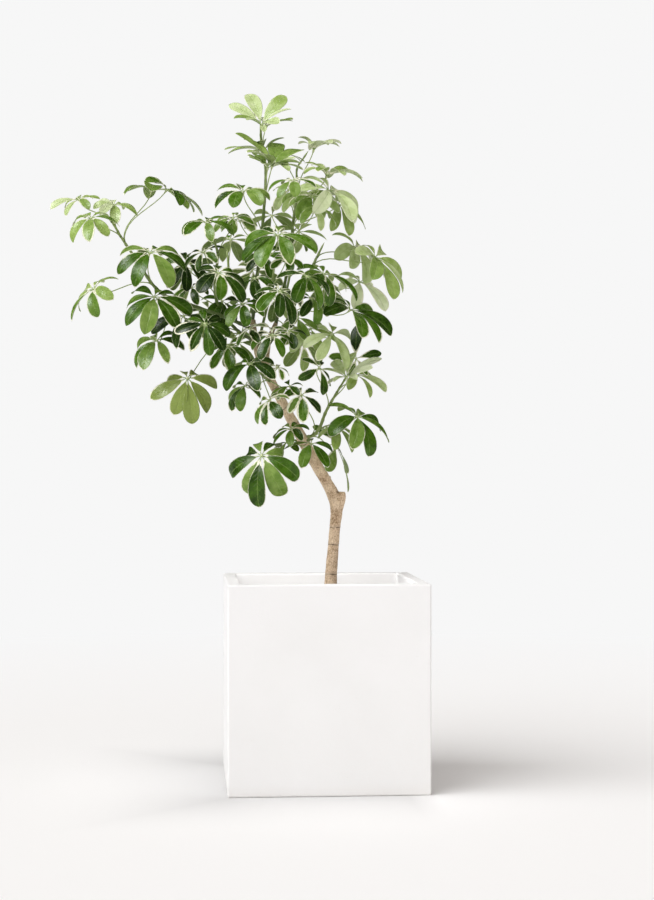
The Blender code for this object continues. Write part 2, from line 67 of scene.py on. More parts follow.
class Wire:
    """Output of a shader node. Arithmetic on it adds Math nodes and gives the wire of their result."""

    def __init__(self, paint, socket):
        self.paint = paint
        self.socket = socket

    def math(self, operation, *values):
        return self.paint.put("Math", {"operation": operation}, dict(enumerate(values)))

    def __add__(self, other):
        return self.math("ADD", self, other)

    def __sub__(self, other):
        return self.math("SUBTRACT", self, other)

    def __rsub__(self, other):
        return self.math("SUBTRACT", other, self)

    def __mul__(self, other):
        return self.math("MULTIPLY", self, other)

    def __abs__(self):
        return self.math("ABSOLUTE", self)

    __radd__ = __add__
    __rmul__ = __mul__

    def held(self):
        """The value kept from 0 to 1."""
        return self.paint.put("Clamp", {}, {"Value": self})


class Paint:
    """A finish in the making: a Principled shader, whose steady values are given by name."""

    def __init__(self, name, **steady):
        self.material = bpy.data.materials.new(name)
        self.material.use_nodes = True
        self.tree = self.material.node_tree
        self.shader = self.tree.nodes["Principled BSDF"]
        self.feed(self.shader, {name.replace("_", " "): value for name, value in steady.items()})
        self.place = self.put("TexCoord", {}, {}, "Object")

    def feed(self, node, sockets):
        for name, value in sockets.items():
            if isinstance(value, Wire):
                self.tree.links.new(value.socket, node.inputs[name])
            else:
                node.inputs[name].default_value = value

    def put(self, kind, settings, sockets, output=0):
        """Add a node of a kind: first its settings, then the values or wires of its sockets.

        A ramp has two stops to begin with, so one stop is added for each after the first two given."""
        node = self.tree.nodes.new("ShaderNode" + kind)
        for name, value in settings.items():
            if name == "stops":
                for place, colour in value[2:]:
                    node.color_ramp.elements.new(place)
                for stop, (place, colour) in zip(node.color_ramp.elements, sorted(value)):
                    stop.position = place
                    stop.color = colour
            else:
                setattr(node, name, value)
        self.feed(node, sockets)
        return Wire(self, node.outputs[output])

    def noise(self, scale, detail=2.0, vector=None):
        """Soft noise about 0.5, with so many waves to the metre."""
        sockets = {"Vector": vector or self.place, "Scale": scale, "Detail": detail}
        return self.put("TexNoise", {}, sockets)

    def mix(self, share, first, second):
        """Colour between two, by a share from 0 to 1."""
        sockets = {"Factor": share, 6: first, 7: second}
        return self.put("Mix", {"data_type": "RGBA"}, sockets, 2)

    def finish(self, **fed):
        """Feed the shader's sockets, a Bump node's height among them, and give the material."""
        relief = fed.pop("relief", None)
        if relief is not None:
            height, depth = relief
            fed["Normal"] = self.put("Bump", {}, {"Height": height, "Distance": depth})
        self.feed(self.shader, {name.replace("_", " "): value for name, value in fed.items()})
        return self.material


def dress(part, material):
    """Give a piece its one material."""
    part.data.materials.clear()
    part.data.materials.append(material)


def planter_finish():
    """Moulded skin: broad faint clouds, painted shade that darkens it lower down, pits about a
    millimetre wide, a dustier foot and painted shade that dulls the top of its rim."""
    paint = Paint("planter_white", Specular_IOR_Level=0.35)
    cloud = paint.noise(7.0, 3.0)
    grain = paint.noise(420.0, 2.0)
    cell = paint.put("TexVoronoi", {}, {"Vector": paint.place, "Scale": 95.0, "Randomness": 1.0})
    pit = ((0.10 - cell) * 14.0).held() * ((paint.noise(18.0) - 0.55) * 9.0).held()
    height = paint.put("SeparateXYZ", {}, {0: paint.place}, "Z")
    dust = ((DUST_HEIGHT - height) * 40.0 + (cloud - 0.5) * 0.8).held() * 0.35
    # Painted shade: the skin turns further towards its cloud colour the lower it lies, so it is darker
    # towards the foot.
    lower = (SHADED_BELOW - height) * 2.0
    skin = paint.mix((cloud * 1.6 - 0.45 + lower).held(), PLANTER_WHITE, PLANTER_CLOUD_AND_SHADE)
    colour = paint.mix(dust + pit * 0.25, skin, PLANTER_FOOT)
    # Painted shade: above the rim's height the white turns greyer, so the top of the rim, which faces the
    # light, is darker.
    colour = paint.mix(((height - RIM_ABOVE) * 700.0).held(), colour, PLANTER_RIM_SHADE)
    return paint.finish(
        Base_Color=colour,
        Roughness=0.62 + grain * 0.2,
        relief=(grain * 0.25 + cloud * 0.5 - pit, 0.0006),
    )


dress(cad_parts["planter"], planter_finish())


# Soil
# Peat-based potting mix with bark chips and a few grains of white perlite, filled to 44 mm below the
# rim. It fills the planter from its floor up, and the trunk stands in it.

SOIL_TOP = 0.3295
SOIL_BUMP = 0.0025
SOIL_MOUND = 0.005
MOUND_SPREAD = 0.006
SOIL_CELLS = 150
LUMPS_REACH = 0.154
CRUMBS = 1500
CHIPS = 420
GRAINS = 130


def waves(x, y, rows):
    """Sum of height * sin(a x + b y + phase) over the rows (height, a, b, phase), in millimetres."""
    height, a, b, phase = (np.array(column)[:, None, None] for column in zip(*rows))
    return (height * np.sin(a * x + b * y + phase)).sum(axis=0) * 0.001


def new_piece(name, vertices, faces, material):
    """Object at the origin for a mesh given as arrays, smooth all over."""
    mesh = bpy.data.meshes.new(name)
    mesh.from_pydata(np.asarray(vertices).tolist(), [], faces)
    mesh.shade_smooth()
    mesh.materials.append(material)
    piece = bpy.data.objects.new(name, mesh)
    bpy.context.scene.collection.objects.link(piece)
    return piece


def soil_height(x, y):
    """Height of the soil: broad low bumps, sin(61 x + 23 y) cos(47 y - 19 x), with two finer sizes of
    crumb over them, and a slight mound, exp(-(x^2 + y^2) / spread), about the trunk's foot."""
    rng = np.random.default_rng(11)
    rows = []
    for height, waves_per_metre, count in ((0.36, 220, 16), (0.22, 700, 30)):
        way = rng.uniform(0, math.tau, count)
        pace = waves_per_metre * rng.uniform(0.7, 1.4, count)
        phase = rng.uniform(0, math.tau, count)
        rows += list(zip([height] * count, pace * np.cos(way), pace * np.sin(way), phase))
    broad = np.sin(61 * x + 23 * y) * np.cos(47 * y - 19 * x)
    mound = np.exp(-(x * x + y * y) / MOUND_SPREAD)
    return SOIL_TOP + SOIL_BUMP * broad + SOIL_MOUND * mound + waves(x, y, rows)


def soil_block(low, high):
    """Bumpy square grid with upright sides down to a flat base, closed all round."""
    xs = np.linspace(low[0], high[0], SOIL_CELLS + 1)
    ys = np.linspace(low[1], high[1], SOIL_CELLS + 1)
    x, y = np.meshgrid(xs, ys, indexing="ij")
    top = np.stack((x, y, soil_height(x, y)), axis=-1)
    index = np.arange(top[..., 0].size).reshape(x.shape)
    cells = (index[:-1, :-1], index[1:, :-1], index[1:, 1:], index[:-1, 1:])
    faces = np.stack(cells, axis=-1).reshape(-1, 4).tolist()
    rim = np.concatenate((index[:-1, 0], index[-1, :-1], index[:0:-1, -1], index[0, :0:-1]))
    foot = top.reshape(-1, 3)[rim] * (1, 1, 0) + (0, 0, low[2])
    under = index.size + np.arange(rim.size)
    sides = (under, np.roll(under, -1), np.roll(rim, -1), rim)
    faces += np.stack(sides, axis=-1).tolist()
    faces.append(under[::-1].tolist())
    return np.concatenate((top.reshape(-1, 3), foot)), faces


def scatter(count, size, slimness, seed):
    """Rough lumps lying on the soil, each of three level rings with six corners.

    A lump's corners are those of a unit ball, pushed in or out a little, times its size and slimness.
    It is tilted slightly, turned by a random upright angle and moved to a random place on the soil."""
    rng = np.random.default_rng(seed)
    ring = np.arange(6) * math.tau / 6
    level = np.array((-0.6, 0.0, 0.6))
    flat = np.sqrt(1 - level ** 2)
    ball = np.stack((
        flat[:, None] * np.cos(ring + level[:, None]),
        flat[:, None] * np.sin(ring + level[:, None]),
        level[:, None] + 0 * ring,
    ), axis=-1).reshape(-1, 3)
    lumps = ball * rng.uniform(0.75, 1.2, (count, 18, 1))
    lumps = lumps * size * rng.uniform(0.6, 1.5, (count, 1, 1)) * slimness
    turn = rng.uniform(0, math.tau, count)
    tilt = rng.uniform(-0.5, 0.5, count)
    zero, one = np.zeros(count), np.ones(count)
    upright = np.array(((np.cos(turn), -np.sin(turn), zero), (np.sin(turn), np.cos(turn), zero),
                        (zero, zero, one)))
    tipped = np.array(((np.cos(tilt), zero, np.sin(tilt)), (zero, one, zero),
                       (-np.sin(tilt), zero, np.cos(tilt))))
    turned = np.einsum("ijn,jkn,nvk->nvi", upright, tipped, lumps)
    x, y = rng.uniform(-LUMPS_REACH, LUMPS_REACH, (2, count))
    z = soil_height(x[None], y[None])[0] + size * 0.2
    corners = turned + np.stack((x, y, z), axis=-1)[:, None]
    k = np.arange(6)
    after = (k + 1) % 6
    walls = [np.stack((k + low, after + low, after + low + 6, k + low + 6), axis=-1) for low in (0, 6)]
    caps = [k[::-1][None], k[None] + 12]
    first = 18 * np.arange(count)[:, None, None]
    faces = []
    for shape in walls + caps:
        faces += (shape[None] + first).reshape(-1, shape.shape[-1]).tolist()
    return corners.reshape(-1, 3), faces


def soil_finish():
    """Dark brown peat, lighter and redder in its crumbs, with damp patches and fine grit."""
    paint = Paint("potting_mix", Specular_IOR_Level=0.25)
    crumb = paint.noise(160.0, 4.0)
    damp = paint.noise(14.0, 2.0)
    stops = [(0.25, (0.018, 0.012, 0.008, 1)), (0.75, (0.120, 0.078, 0.048, 1)),
             (0.50, (0.055, 0.035, 0.022, 1))]
    colour = paint.put("ValToRGB", {"stops": stops}, {0: crumb + (damp - 0.5) * 0.4})
    return paint.finish(
        Base_Color=colour,
        Roughness=0.80 + crumb * 0.18,
        relief=(paint.noise(900.0, 3.0) + crumb, 0.0012),
    )


def lump_finish(name, dark, light, scale):
    """Two tones in noise, rough all over, for bark chips and for perlite."""
    paint = Paint(name, Specular_IOR_Level=0.3)
    patch = paint.noise(scale, 3.0)
    return paint.finish(
        Base_Color=paint.mix((patch * 2.0 - 0.5).held(), dark, light),
        Roughness=0.70 + patch * 0.25,
        relief=(paint.noise(scale * 5.0, 2.0), 0.0006),
    )


soil_low, soil_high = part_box("soil")
potting_mix = soil_finish()
soil = new_piece("soil_fill", *soil_block(soil_low, soil_high), potting_mix)
bark_chip = lump_finish("bark_chip", (0.060, 0.032, 0.018, 1), (0.230, 0.130, 0.070, 1), 120.0)
perlite = lump_finish("perlite", (0.520, 0.500, 0.460, 1), (0.800, 0.790, 0.760, 1), 200.0)
crumbs = new_piece("soil_crumbs", *scatter(CRUMBS, 0.0022, (1.0, 0.9, 0.8), 3), potting_mix)
chips = new_piece("soil_chips", *scatter(CHIPS, 0.0060, (1.0, 0.55, 0.22), 5), bark_chip)
grains = new_piece("soil_grains", *scatter(GRAINS, 0.0018, (1.0, 0.9, 0.9), 7), perlite)
for piece in (soil, crumbs, chips, grains):
    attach(piece, "root")
    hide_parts("soil")


# Trunk
# The bare tan stem of a young umbrella tree, 23 mm thick, cut back once where it bends and grown on to
# the left. Its bark is smooth, with the rings of old leaves, corky dots and a pale healed cut.

# A row is across, height, depth and radius in cm. Across and height are what the eye sees on the
# upright plane through the planter's middle, and the eye is the camera's place in metres.
TRUNK = (
    (1.25, 27.5, 0.0, 1.20), (1.45, 36.0, 0.0, 1.16), (1.80, 41.0, 0.0, 1.06), (2.20, 46.0, 0.0, 1.00),
    (2.55, 49.6, 0.0, 1.10), (2.20, 52.2, 0.0, 1.20), (0.95, 54.8, -0.2, 1.06), (-0.60, 57.4, -0.5, 1.05),
    (-2.20, 60.2, -0.8, 1.06), (-3.80, 63.2, -1.0, 1.04), (-5.50, 66.2, -1.0, 0.98),
    (-7.20, 69.4, -0.8, 0.91), (-8.80, 72.4, -0.4, 0.84), (-10.40, 75.6, 0.0, 0.78),
    (-11.90, 78.8, 0.3, 0.70), (-12.60, 82.0, 0.4, 0.62), (-13.00, 85.2, 0.4, 0.55),
)
FORK = (
    (-10.10, 75.0, 0.0, 0.50), (-10.35, 78.2, 1.3, 0.52), (-9.90, 81.6, 2.0, 0.48), (-8.70, 84.6, 2.4, 0.42),
)
STUMP = (
    (2.60, 49.0, 0.0, 0.85), (2.95, 51.0, 0.1, 1.06), (3.15, 52.0, 0.1, 1.12), (3.28, 52.9, 0.1, 1.04),
    (3.30, 53.4, 0.1, 0.84),
)
EYE = np.array((-0.2548, -3.5376, 0.5945))
LEAF_RINGS = (38.3, 47.0, 43.8, 62.4, 66.0, 69.0, 72.6, 75.4, 78.6)
RING_HEIGHT = 0.00045
LUMP_HEIGHT = 0.00014
SLEEPING_BUD = (1.40, 56.10, -0.30)
BUD_HEIGHT = 0.0015
BUD_RADIUS = 0.0021
SHADED_SLIT = (2.74, 53.35, 0.0)
SHADED_SLIT_RADIUS = 0.0024
CUT_REACH = 0.010
BARK_VOXEL = 0.0009


def seen(rows):
    """Points in metres for rows (across, height, depth) in cm, read by the eye on the plane y = 0.

    A point slides along its sight line: eye + (point on the plane - eye) * (depth - eye.y) / -eye.y."""
    rows = np.asarray(rows, float) * 0.01
    on_plane = np.stack((rows[..., 0], 0 * rows[..., 0], rows[..., 1]), axis=-1)
    share = (rows[..., 2:3] - EYE[1]) / -EYE[1]
    return EYE + (on_plane - EYE) * share


def smooth(rows, steps):
    """Rows joined by a Catmull-Rom line: in each stretch, 0.5 * (2 b + (c - a) t + (2 a - 5 b + 4 c - d)
    t^2 + (3 b - a - 3 c + d) t^3), with so many steps to a stretch."""
    rows = np.asarray(rows, float)
    ends = np.concatenate((2 * rows[:1] - rows[1:2], rows, 2 * rows[-1:] - rows[-2:-1]))
    a, b, c, d = (ends[k:len(ends) - 3 + k, None] for k in range(4))
    t = (np.arange(steps) / steps)[None, :, None]
    line = 0.5 * (2 * b + (c - a) * t + (2 * a - 5 * b + 4 * c - d) * t ** 2
                  + (3 * b - a - 3 * c + d) * t ** 3)
    return np.concatenate((line.reshape(-1, rows.shape[1]), rows[-1:]))


def unit(vectors):
    """The vectors' directions, each of length 1."""
    return vectors / np.linalg.norm(vectors, axis=-1, keepdims=True)


def line_frames(points):
    """Two directions square to a line all along it, from the way in which it spreads least."""
    tangent = unit(np.gradient(points, axis=0))
    flat = np.linalg.svd(points - points.mean(axis=0))[2][2]
    side = unit(np.cross(flat, tangent))
    return side, np.cross(tangent, side)


def tube(points, radii, sides):
    """Closed round tube: each ring is centre + radius * (cos a * side + sin a * up), with flat ends."""
    side, up = line_frames(points)
    a = (np.arange(sides) * math.tau / sides)[None, :, None]
    rings = points[:, None] + radii[:, None, None] * (np.cos(a) * side[:, None] + np.sin(a) * up[:, None])
    index = np.arange(rings[..., 0].size).reshape(rings.shape[:2])
    after = np.roll(index, -1, axis=1)
    walls = np.stack((index[:-1], after[:-1], after[1:], index[1:]), axis=-1).reshape(-1, 4).tolist()
    return rings.reshape(-1, 3), walls + [index[0, ::-1].tolist(), index[-1].tolist()]


def together(shapes):
    """Several (vertices, faces) as one."""
    vertices, faces, count = [], [], 0
    for corners, sides in shapes:
        faces += [[corner + count for corner in side] for side in sides]
        vertices.append(corners)
        count += len(corners)
    return np.concatenate(vertices), faces


def limb(rows, steps, sides):
    """A tube along the smooth line through the rows (across, height, depth, radius) in cm."""
    line = smooth(rows, steps)
    return tube(seen(line[:, :3]), line[:, 3] * 0.01, sides)


def grown_together(piece, voxel):
    """Fuse overlapping limbs to one skin, and soften the crotches."""
    fuse = piece.modifiers.new("fuse", "REMESH")
    fuse.mode = "VOXEL"
    fuse.voxel_size = voxel
    fuse.use_smooth_shade = True
    soften = piece.modifiers.new("soften", "SMOOTH")
    soften.factor = 0.6
    soften.iterations = 6
    graph = bpy.context.evaluated_depsgraph_get()
    mesh = bpy.data.meshes.new_from_object(piece.evaluated_get(graph), depsgraph=graph)
    piece.modifiers.clear()
    piece.data = mesh


def corners_of(mesh):
    """The mesh's vertices as an array."""
    flat = np.empty(len(mesh.vertices) * 3)
    mesh.vertices.foreach_get("co", flat)
    return flat.reshape(-1, 3)


def mark(mesh, name, values):
    """Store an array of four numbers a vertex, for the finish to read."""
    layer = mesh.attributes.new(name, "FLOAT_COLOR", "POINT")
    layer.data.foreach_set("color", np.asarray(values, float).ravel())


def bark_relief(piece):
    """Move each vertex out from the nearest point of the trunk's line by the bark's relief.

    At a height z along the line the relief is a ridge, exp(-((z - ring) / 1.1 mm)^2), with a groove
    2 mm below it for each old leaf's ring, slow lumps that turn with z, and one sleeping bud,
    height * exp(-(distance / radius)^2). A dark slit of the same form, painted shade with no depth of its
    own, parts trunk and stump. Stored as marks are the grooves with the bud and the painted shade of the
    slit, the ridges, the stump's healed cut, and the height."""
    line = seen(smooth(TRUNK, 24)[:, :3])
    corners = corners_of(piece.data)
    apart = (corners ** 2).sum(axis=1)[:, None] + (line ** 2).sum(axis=1)[None] - 2 * corners @ line.T
    nearest = line[apart.argmin(axis=1)]
    way = unit(corners - nearest)
    turn = np.arctan2(way[:, 1], way[:, 0])
    along = nearest[:, 2] + 0.0007 * np.sin(2 * turn)
    rings = seen([(0, height, 0) for height in LEAF_RINGS])[:, 2]
    off = along[:, None] - rings[None]
    ridge = np.exp(-(off / 0.0011) ** 2).sum(axis=1)
    groove = np.exp(-((off + 0.0020) / 0.0008) ** 2).sum(axis=1)
    lumps = np.sin(3 * turn + 90 * along) + np.sin(2 * turn - 150 * along) + np.sin(5 * turn + 260 * along)
    below, top, bud_place, shaded_slit_place = seen([STUMP[-2][:3], STUMP[-1][:3], SLEEPING_BUD, SHADED_SLIT])
    cut = np.clip(((corners - top) @ unit(top - below) + 0.0012) / 0.0008, 0, 1)
    cut *= np.linalg.norm(corners - top, axis=1) < CUT_REACH
    bud = np.exp(-(np.linalg.norm(corners - bud_place, axis=1) / BUD_RADIUS) ** 2)
    # Painted shade: a dark band, with no depth in the bark, where the stump parts from the trunk.
    slit = np.exp(-(np.linalg.norm((corners - shaded_slit_place)[:, ::2], axis=1) / SHADED_SLIT_RADIUS) ** 2)
    out = RING_HEIGHT * ridge - RING_HEIGHT * groove + LUMP_HEIGHT * lumps + BUD_HEIGHT * bud
    corners += way * (out * (1 - cut))[:, None]
    piece.data.vertices.foreach_set("co", corners.ravel())
    dark = (groove + slit * 1.6 + bud * 0.5).clip(0, 1)
    mark(piece.data, "marks", np.stack((dark, ridge.clip(0, 1), cut, along), axis=-1))


def bark_finish():
    """Tan cork with darker blotches and specks, fine upright cracks, brown corky dots, dark leaf rings
    and painted shade in the slit between trunk and stump, paler at the healed cut and olive brown on the
    young wood high up."""
    paint = Paint("bark_tan", Specular_IOR_Level=0.3)
    marks = paint.put("Attribute", {"attribute_name": "marks"}, {}, "Color")
    along = paint.put("Attribute", {"attribute_name": "marks"}, {}, "Alpha")
    dark = paint.put("SeparateColor", {}, {0: marks}, 0)
    ridge = paint.put("SeparateColor", {}, {0: marks}, 1)
    cut = paint.put("SeparateColor", {}, {0: marks}, 2)
    upright = paint.put("Mapping", {}, {0: paint.place, "Scale": (1.0, 1.0, 0.18)})
    level = paint.put("Mapping", {}, {0: paint.place, "Scale": (0.45, 0.45, 1.0)})
    blotch = paint.noise(55.0, 4.0)
    speck = paint.noise(420.0, 3.0)
    crack = paint.noise(900.0, 3.0, upright)
    dot = paint.put("TexVoronoi", {}, {"Vector": level, "Scale": 330.0, "Randomness": 1.0})
    dot = ((0.24 - dot) * 9.0).held() * ((paint.noise(120.0) - 0.46) * 8.0).held()
    stops = [(0.30, (0.310, 0.185, 0.095, 1)), (0.64, (0.900, 0.720, 0.520, 1)),
             (0.46, (0.640, 0.465, 0.305, 1))]
    pale = blotch * 0.6 + speck * 0.6 + (crack - 0.5) * 0.35 - 0.1
    pale = pale + ((along - 0.50) * 9.0).held() * 0.05
    colour = paint.put("ValToRGB", {"stops": stops}, {0: pale})
    colour = paint.mix(dot * 0.7, colour, (0.210, 0.125, 0.060, 1))
    # Leaf rings, the bud and the painted shade of the slit between stump and trunk darken the bark here.
    colour = paint.mix(dark * (0.55 + blotch * 0.6), colour, (0.090, 0.052, 0.026, 1))
    colour = paint.mix(ridge * 0.35, colour, (0.620, 0.500, 0.370, 1))
    colour = paint.mix(((along - 0.70) * 7.0).held() * 0.75, colour, (0.130, 0.105, 0.045, 1))
    colour = paint.mix(cut * 0.85, colour, (0.700, 0.600, 0.470, 1))
    return paint.finish(
        Base_Color=colour,
        Roughness=0.62 + blotch * 0.3,
        relief=(crack * 0.8 + blotch * 0.6 + dot * 0.6, 0.0005),
    )


bark_tan = bark_finish()
trunk_limbs = together([limb(TRUNK, 8, 24), limb(FORK, 8, 16), limb(STUMP, 6, 24)])
trunk = new_piece("trunk_bark", *trunk_limbs, bark_tan)
grown_together(trunk, BARK_VOXEL)
bark_relief(trunk)
dress(trunk, bark_tan)
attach(trunk, "root")
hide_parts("trunk")


# Leader
# The highest shoot, grown on from the trunk's end. Its leaves are palmate: a long thin stalk ends in a
# small knob, from which leathery leaflets spread like an umbrella, green with a thin cream margin.

# A leaflet has ten stations along it, and at each a ring of eight points, from edge to edge over its
# upper face (1) and back below (-1). Its edges are drawn out, because the finished skin pulls them in.
ALONG = np.array((0.0, 0.07, 0.13, 0.20, 0.34, 0.50, 0.66, 0.81, 0.93, 1.0))
ACROSS = np.array((1.0, 0.55, 0.0, -0.55, -1.0, -0.55, 0.0, 0.55))
FACE = np.array((0.0, 1.0, 1.0, 1.0, 0.0, -1.0, -1.0, -1.0))
EDGE_DRAW = 1.10
BLADE_FROM = 0.11
BLADE_WIDTH = 0.185
BLADE_HALF_THICK = 0.0003
STALKLET_RADIUS = 0.0008
STALK_RADIUS = 0.00105
KNOB_RADIUS = 0.0026

# Hub across, height and depth in cm; tilt of the leaf's face from level and the way it leans, in
# degrees (0 to the viewer, 90 to the right); turn of the first leaflet from downhill; number and
# length in cm of its leaflets; the angle by which they rise and then bend back; tone from dark (0)
# to washed pale (1), partly the leaf's own colour and partly painted light, its pale end standing for
# light that shines through the leaf; and share of olive, painted light through a leaf that hangs
# against the light.
Leaf = namedtuple("Leaf", "across height depth tilt toward turn leaflets length lift bend tone olive",
                  defaults=(0.0,))


def leaf_axes(leaf):
    """Downhill, sideways and upward directions of a leaf's plane."""
    tilt, toward = math.radians(leaf.tilt), math.radians(leaf.toward)
    lean = np.array((math.sin(toward), -math.cos(toward), 0.0))
    level = np.array((0.0, 0.0, 1.0))
    upward = lean * math.sin(tilt) + level * math.cos(tilt)
    downhill = lean * math.cos(tilt) - level * math.sin(tilt)
    return downhill, np.cross(upward, downhill), upward


def leaflet_plan(leaf):
    """Turn, length and bend of each leaflet: evenly shared out, then sagging downhill by 0.3 sin(tilt)
    sin(turn), with those on the uphill side up to two fifths shorter and bent back further."""
    even = math.radians(leaf.turn) + np.arange(leaf.leaflets) * math.tau / leaf.leaflets
    turn = even - 0.30 * math.sin(math.radians(leaf.tilt)) * np.sin(even)
    uphill = (1 - np.cos(turn)) / 2
    ripple = np.sin(5 * turn + leaf.across)
    length = leaf.length * 0.01 * (1 - 0.40 * uphill) * (1 + 0.06 * ripple)
    bend = math.radians(leaf.bend) * (1 + 0.45 * uphill) * (1 - 0.15 * ripple)
    return turn, length, bend


def leaflets(leaf, seed):
    """Closed thin leaflets of one leaf, on a grid of leaflet, station u along and point s across.

    The midrib starts at the leaf's lift and bends back evenly: angle = lift - bend u, out = length
    (sin lift - sin angle) / bend, rise = length (cos angle - cos lift) / bend, and strays sideways by
    u^2. A stalklet runs to u = 0.11; the blade after it has the half width, as a share of its widest,
    2.76 v^0.95 (1 - v)^0.54 of v from 0 to 1. A point at s lies s half widths to the side and
    (fold |s| - curl s^2 + wave) half widths up, and the whole section turns about the midrib by
    twist * u. Stored with each point are its tone, depth from the edge, face and share of olive, and
    its s and u. Every measure varies a little from leaflet to leaflet."""
    rng = np.random.default_rng(seed)
    downhill, sideways, upward = leaf_axes(leaf)
    turn, length, bend = leaflet_plan(leaf)
    count = leaf.leaflets
    turn = turn + rng.uniform(-0.5, 0.5, count) * math.tau / count * 0.34

    def vary(middle, spread):
        return (middle + spread * rng.uniform(-1, 1, count))[:, None]

    lift = vary(math.radians(leaf.lift), 0.14)
    u = ALONG[None]
    length, bend = length[:, None] * vary(1.0, 0.07), bend[:, None] * vary(1.0, 0.14)
    angle = lift - bend * u
    out = length * (np.sin(lift) - np.sin(angle)) / bend
    rise = length * (np.cos(angle) - np.cos(lift)) / bend
    along = np.cos(turn)[:, None] * downhill + np.sin(turn)[:, None] * sideways
    across = np.cross(upward, along)
    line = along[:, None] * out[..., None] + upward * rise[..., None]
    line = line + across[:, None] * (vary(0.0, 0.10) * length * u ** 2)[..., None]
    face = upward * np.cos(angle)[..., None] - along[:, None] * np.sin(angle)[..., None]
    twist = (vary(0.0, 0.50) * u)[..., None]
    side = across[:, None] * np.cos(twist) + face * np.sin(twist)
    face = face * np.cos(twist) - across[:, None] * np.sin(twist)

    v = np.clip((u - BLADE_FROM) / (1 - BLADE_FROM), 0, 1)
    outline = 2.76 * v ** vary(0.95, 0.12) * (1 - v) ** vary(0.54, 0.07)
    blade = length * vary(BLADE_WIDTH, 0.022) * outline
    half = np.sqrt(blade ** 2 + (STALKLET_RADIUS * (1 - 0.7 * u)) ** 2)
    round_stalk = np.exp(-(blade / 0.002) ** 2) * (u < 0.5)
    thick = BLADE_HALF_THICK + (STALKLET_RADIUS - BLADE_HALF_THICK) * round_stalk

    s = ACROSS[None, None]
    wave = vary(0.0, 0.10)[..., None] * np.sin(vary(9.0, 2.0)[..., None] * u[..., None] + 2 * s) * s ** 2
    up = vary(0.34, 0.16)[..., None] * np.abs(s) - vary(0.10, 0.08)[..., None] * s ** 2 + wave
    up = up * blade[..., None] + FACE * thick[..., None]
    corners = line[..., None, :] + side[..., None, :] * (s * half[..., None] * EDGE_DRAW)[..., None]
    corners = corners + face[..., None, :] * up[..., None] + seen(leaf[:3])

    index = np.arange(corners[..., 0].size).reshape(corners.shape[:3])
    after = np.roll(index, -1, axis=2)
    walls = np.stack((index[:, :-1], after[:, :-1], after[:, 1:], index[:, 1:]), axis=-1).reshape(-1, 4)
    faces = walls.tolist() + index[:, 0, ::-1].tolist() + index[:, -1].tolist()

    rim = (1 - np.abs(s)) * blade[..., None] * 100
    # Partly painted light: each leaflet's tone is partly its own colour and partly light shining through it.
    tone = vary(leaf.tone, 0.16)[..., None] + 0 * rim
    under = (1 - FACE) / 2 + 0 * rim
    # Painted light: the share of olive stands for light shining through the leaf.
    painted_backlight_olive = leaf.olive + 0 * rim
    marks = np.stack((tone, rim, under, painted_backlight_olive), axis=-1).reshape(-1, 4)
    spots = np.stack((s + 0 * rim, u[..., None] + 0 * rim), axis=-1).reshape(-1, 2)
    return corners.reshape(-1, 3), faces, marks, spots


def stalk(leaf, stem, stem_way):
    """Leaf stalk: a Bezier line from the stem's point nearest below the leaf to its hub.

    It leaves with the stem's way turned towards the hub, and ends square to the leaf's plane. Its
    radius swells to a foot at the stem and to the round knob that carries the leaflets. With it comes
    the age of its skin, 0 at the knob and more towards the stem."""
    hub = seen(leaf[:3])
    upward = leaf_axes(leaf)[2]
    target = hub - upward * 0.04 - (0, 0, 0.03)
    at = np.linalg.norm(stem - target, axis=1).argmin()
    root = stem[at]
    reach = np.linalg.norm(hub - root)
    leave = unit(stem_way[at] + (hub - root) / reach * 0.8)
    t = np.array((0, 0.02, 0.045, 0.08, 0.15, 0.26, 0.38, 0.50, 0.62, 0.74, 0.85, 0.93, 1.0))[:, None]
    near, far = root + leave * reach * 0.4, hub - upward * reach * 0.35
    line = root * (1 - t) ** 3 + near * 3 * t * (1 - t) ** 2 + far * 3 * t * t * (1 - t) + hub * t ** 3
    t = t[:, 0]
    radii = STALK_RADIUS * (1 - 0.12 * t) + 0.0016 * np.exp(-(t * reach / 0.004) ** 2)
    radii = np.maximum(radii, KNOB_RADIUS * np.exp(-((1 - t) * reach / 0.0028) ** 2))
    crown = hub + upward * np.array((0.0008, 0.0015, 0.0020))[:, None]
    line = np.concatenate((line[:-1], [hub - upward * 0.0012, hub], crown))
    radii = np.concatenate((radii[:-1], KNOB_RADIUS * np.array((0.85, 1.0, 0.93, 0.66, 0.2))))
    age = 0.34 - 0.14 * t[:-1] + 0.25 * np.exp(-t[:-1] * 40)
    age = np.concatenate((age, (0.04, 0.02, 0.0, 0.0, 0.0)))
    return tube(line, radii, 8), np.repeat(age, 8)


def shoot(rows, oldest):
    """Stem: a smooth tube that swells at its joints, radius * (0.76 + 0.20 cos^8(full turn * run /
    28 mm)), and ends in a pointed bud. Its skin's age falls from the trunk to the tip. Returned with it
    are the points that can carry leaves and the stem's way at each."""
    line = smooth(rows, 8)
    points, radii = seen(line[:, :3]), line[:, 3] * 0.01
    way = unit(np.gradient(points, axis=0))
    run = np.concatenate(([0], np.linalg.norm(np.diff(points, axis=0), axis=1).cumsum()))
    radii = radii * (0.76 + 0.20 * np.cos(run / 0.028 * math.tau) ** 8)
    tip = points[-1] + way[-1] * np.array((0.004, 0.009, 0.014))[:, None]
    tip_radii = radii[-1] * np.array((0.95, 0.6, 0.12))
    old = (1 - run / run[-1]) ** 1.5
    age = np.concatenate((oldest * old + 0.35 * (1 - old), (0.30, 0.26, 0.22)))
    shape = tube(np.concatenate((points, tip)), np.concatenate((radii, tip_radii)), 10)
    first = len(points) // 6
    return shape, np.repeat(age, 10), points[first:], way[first:]


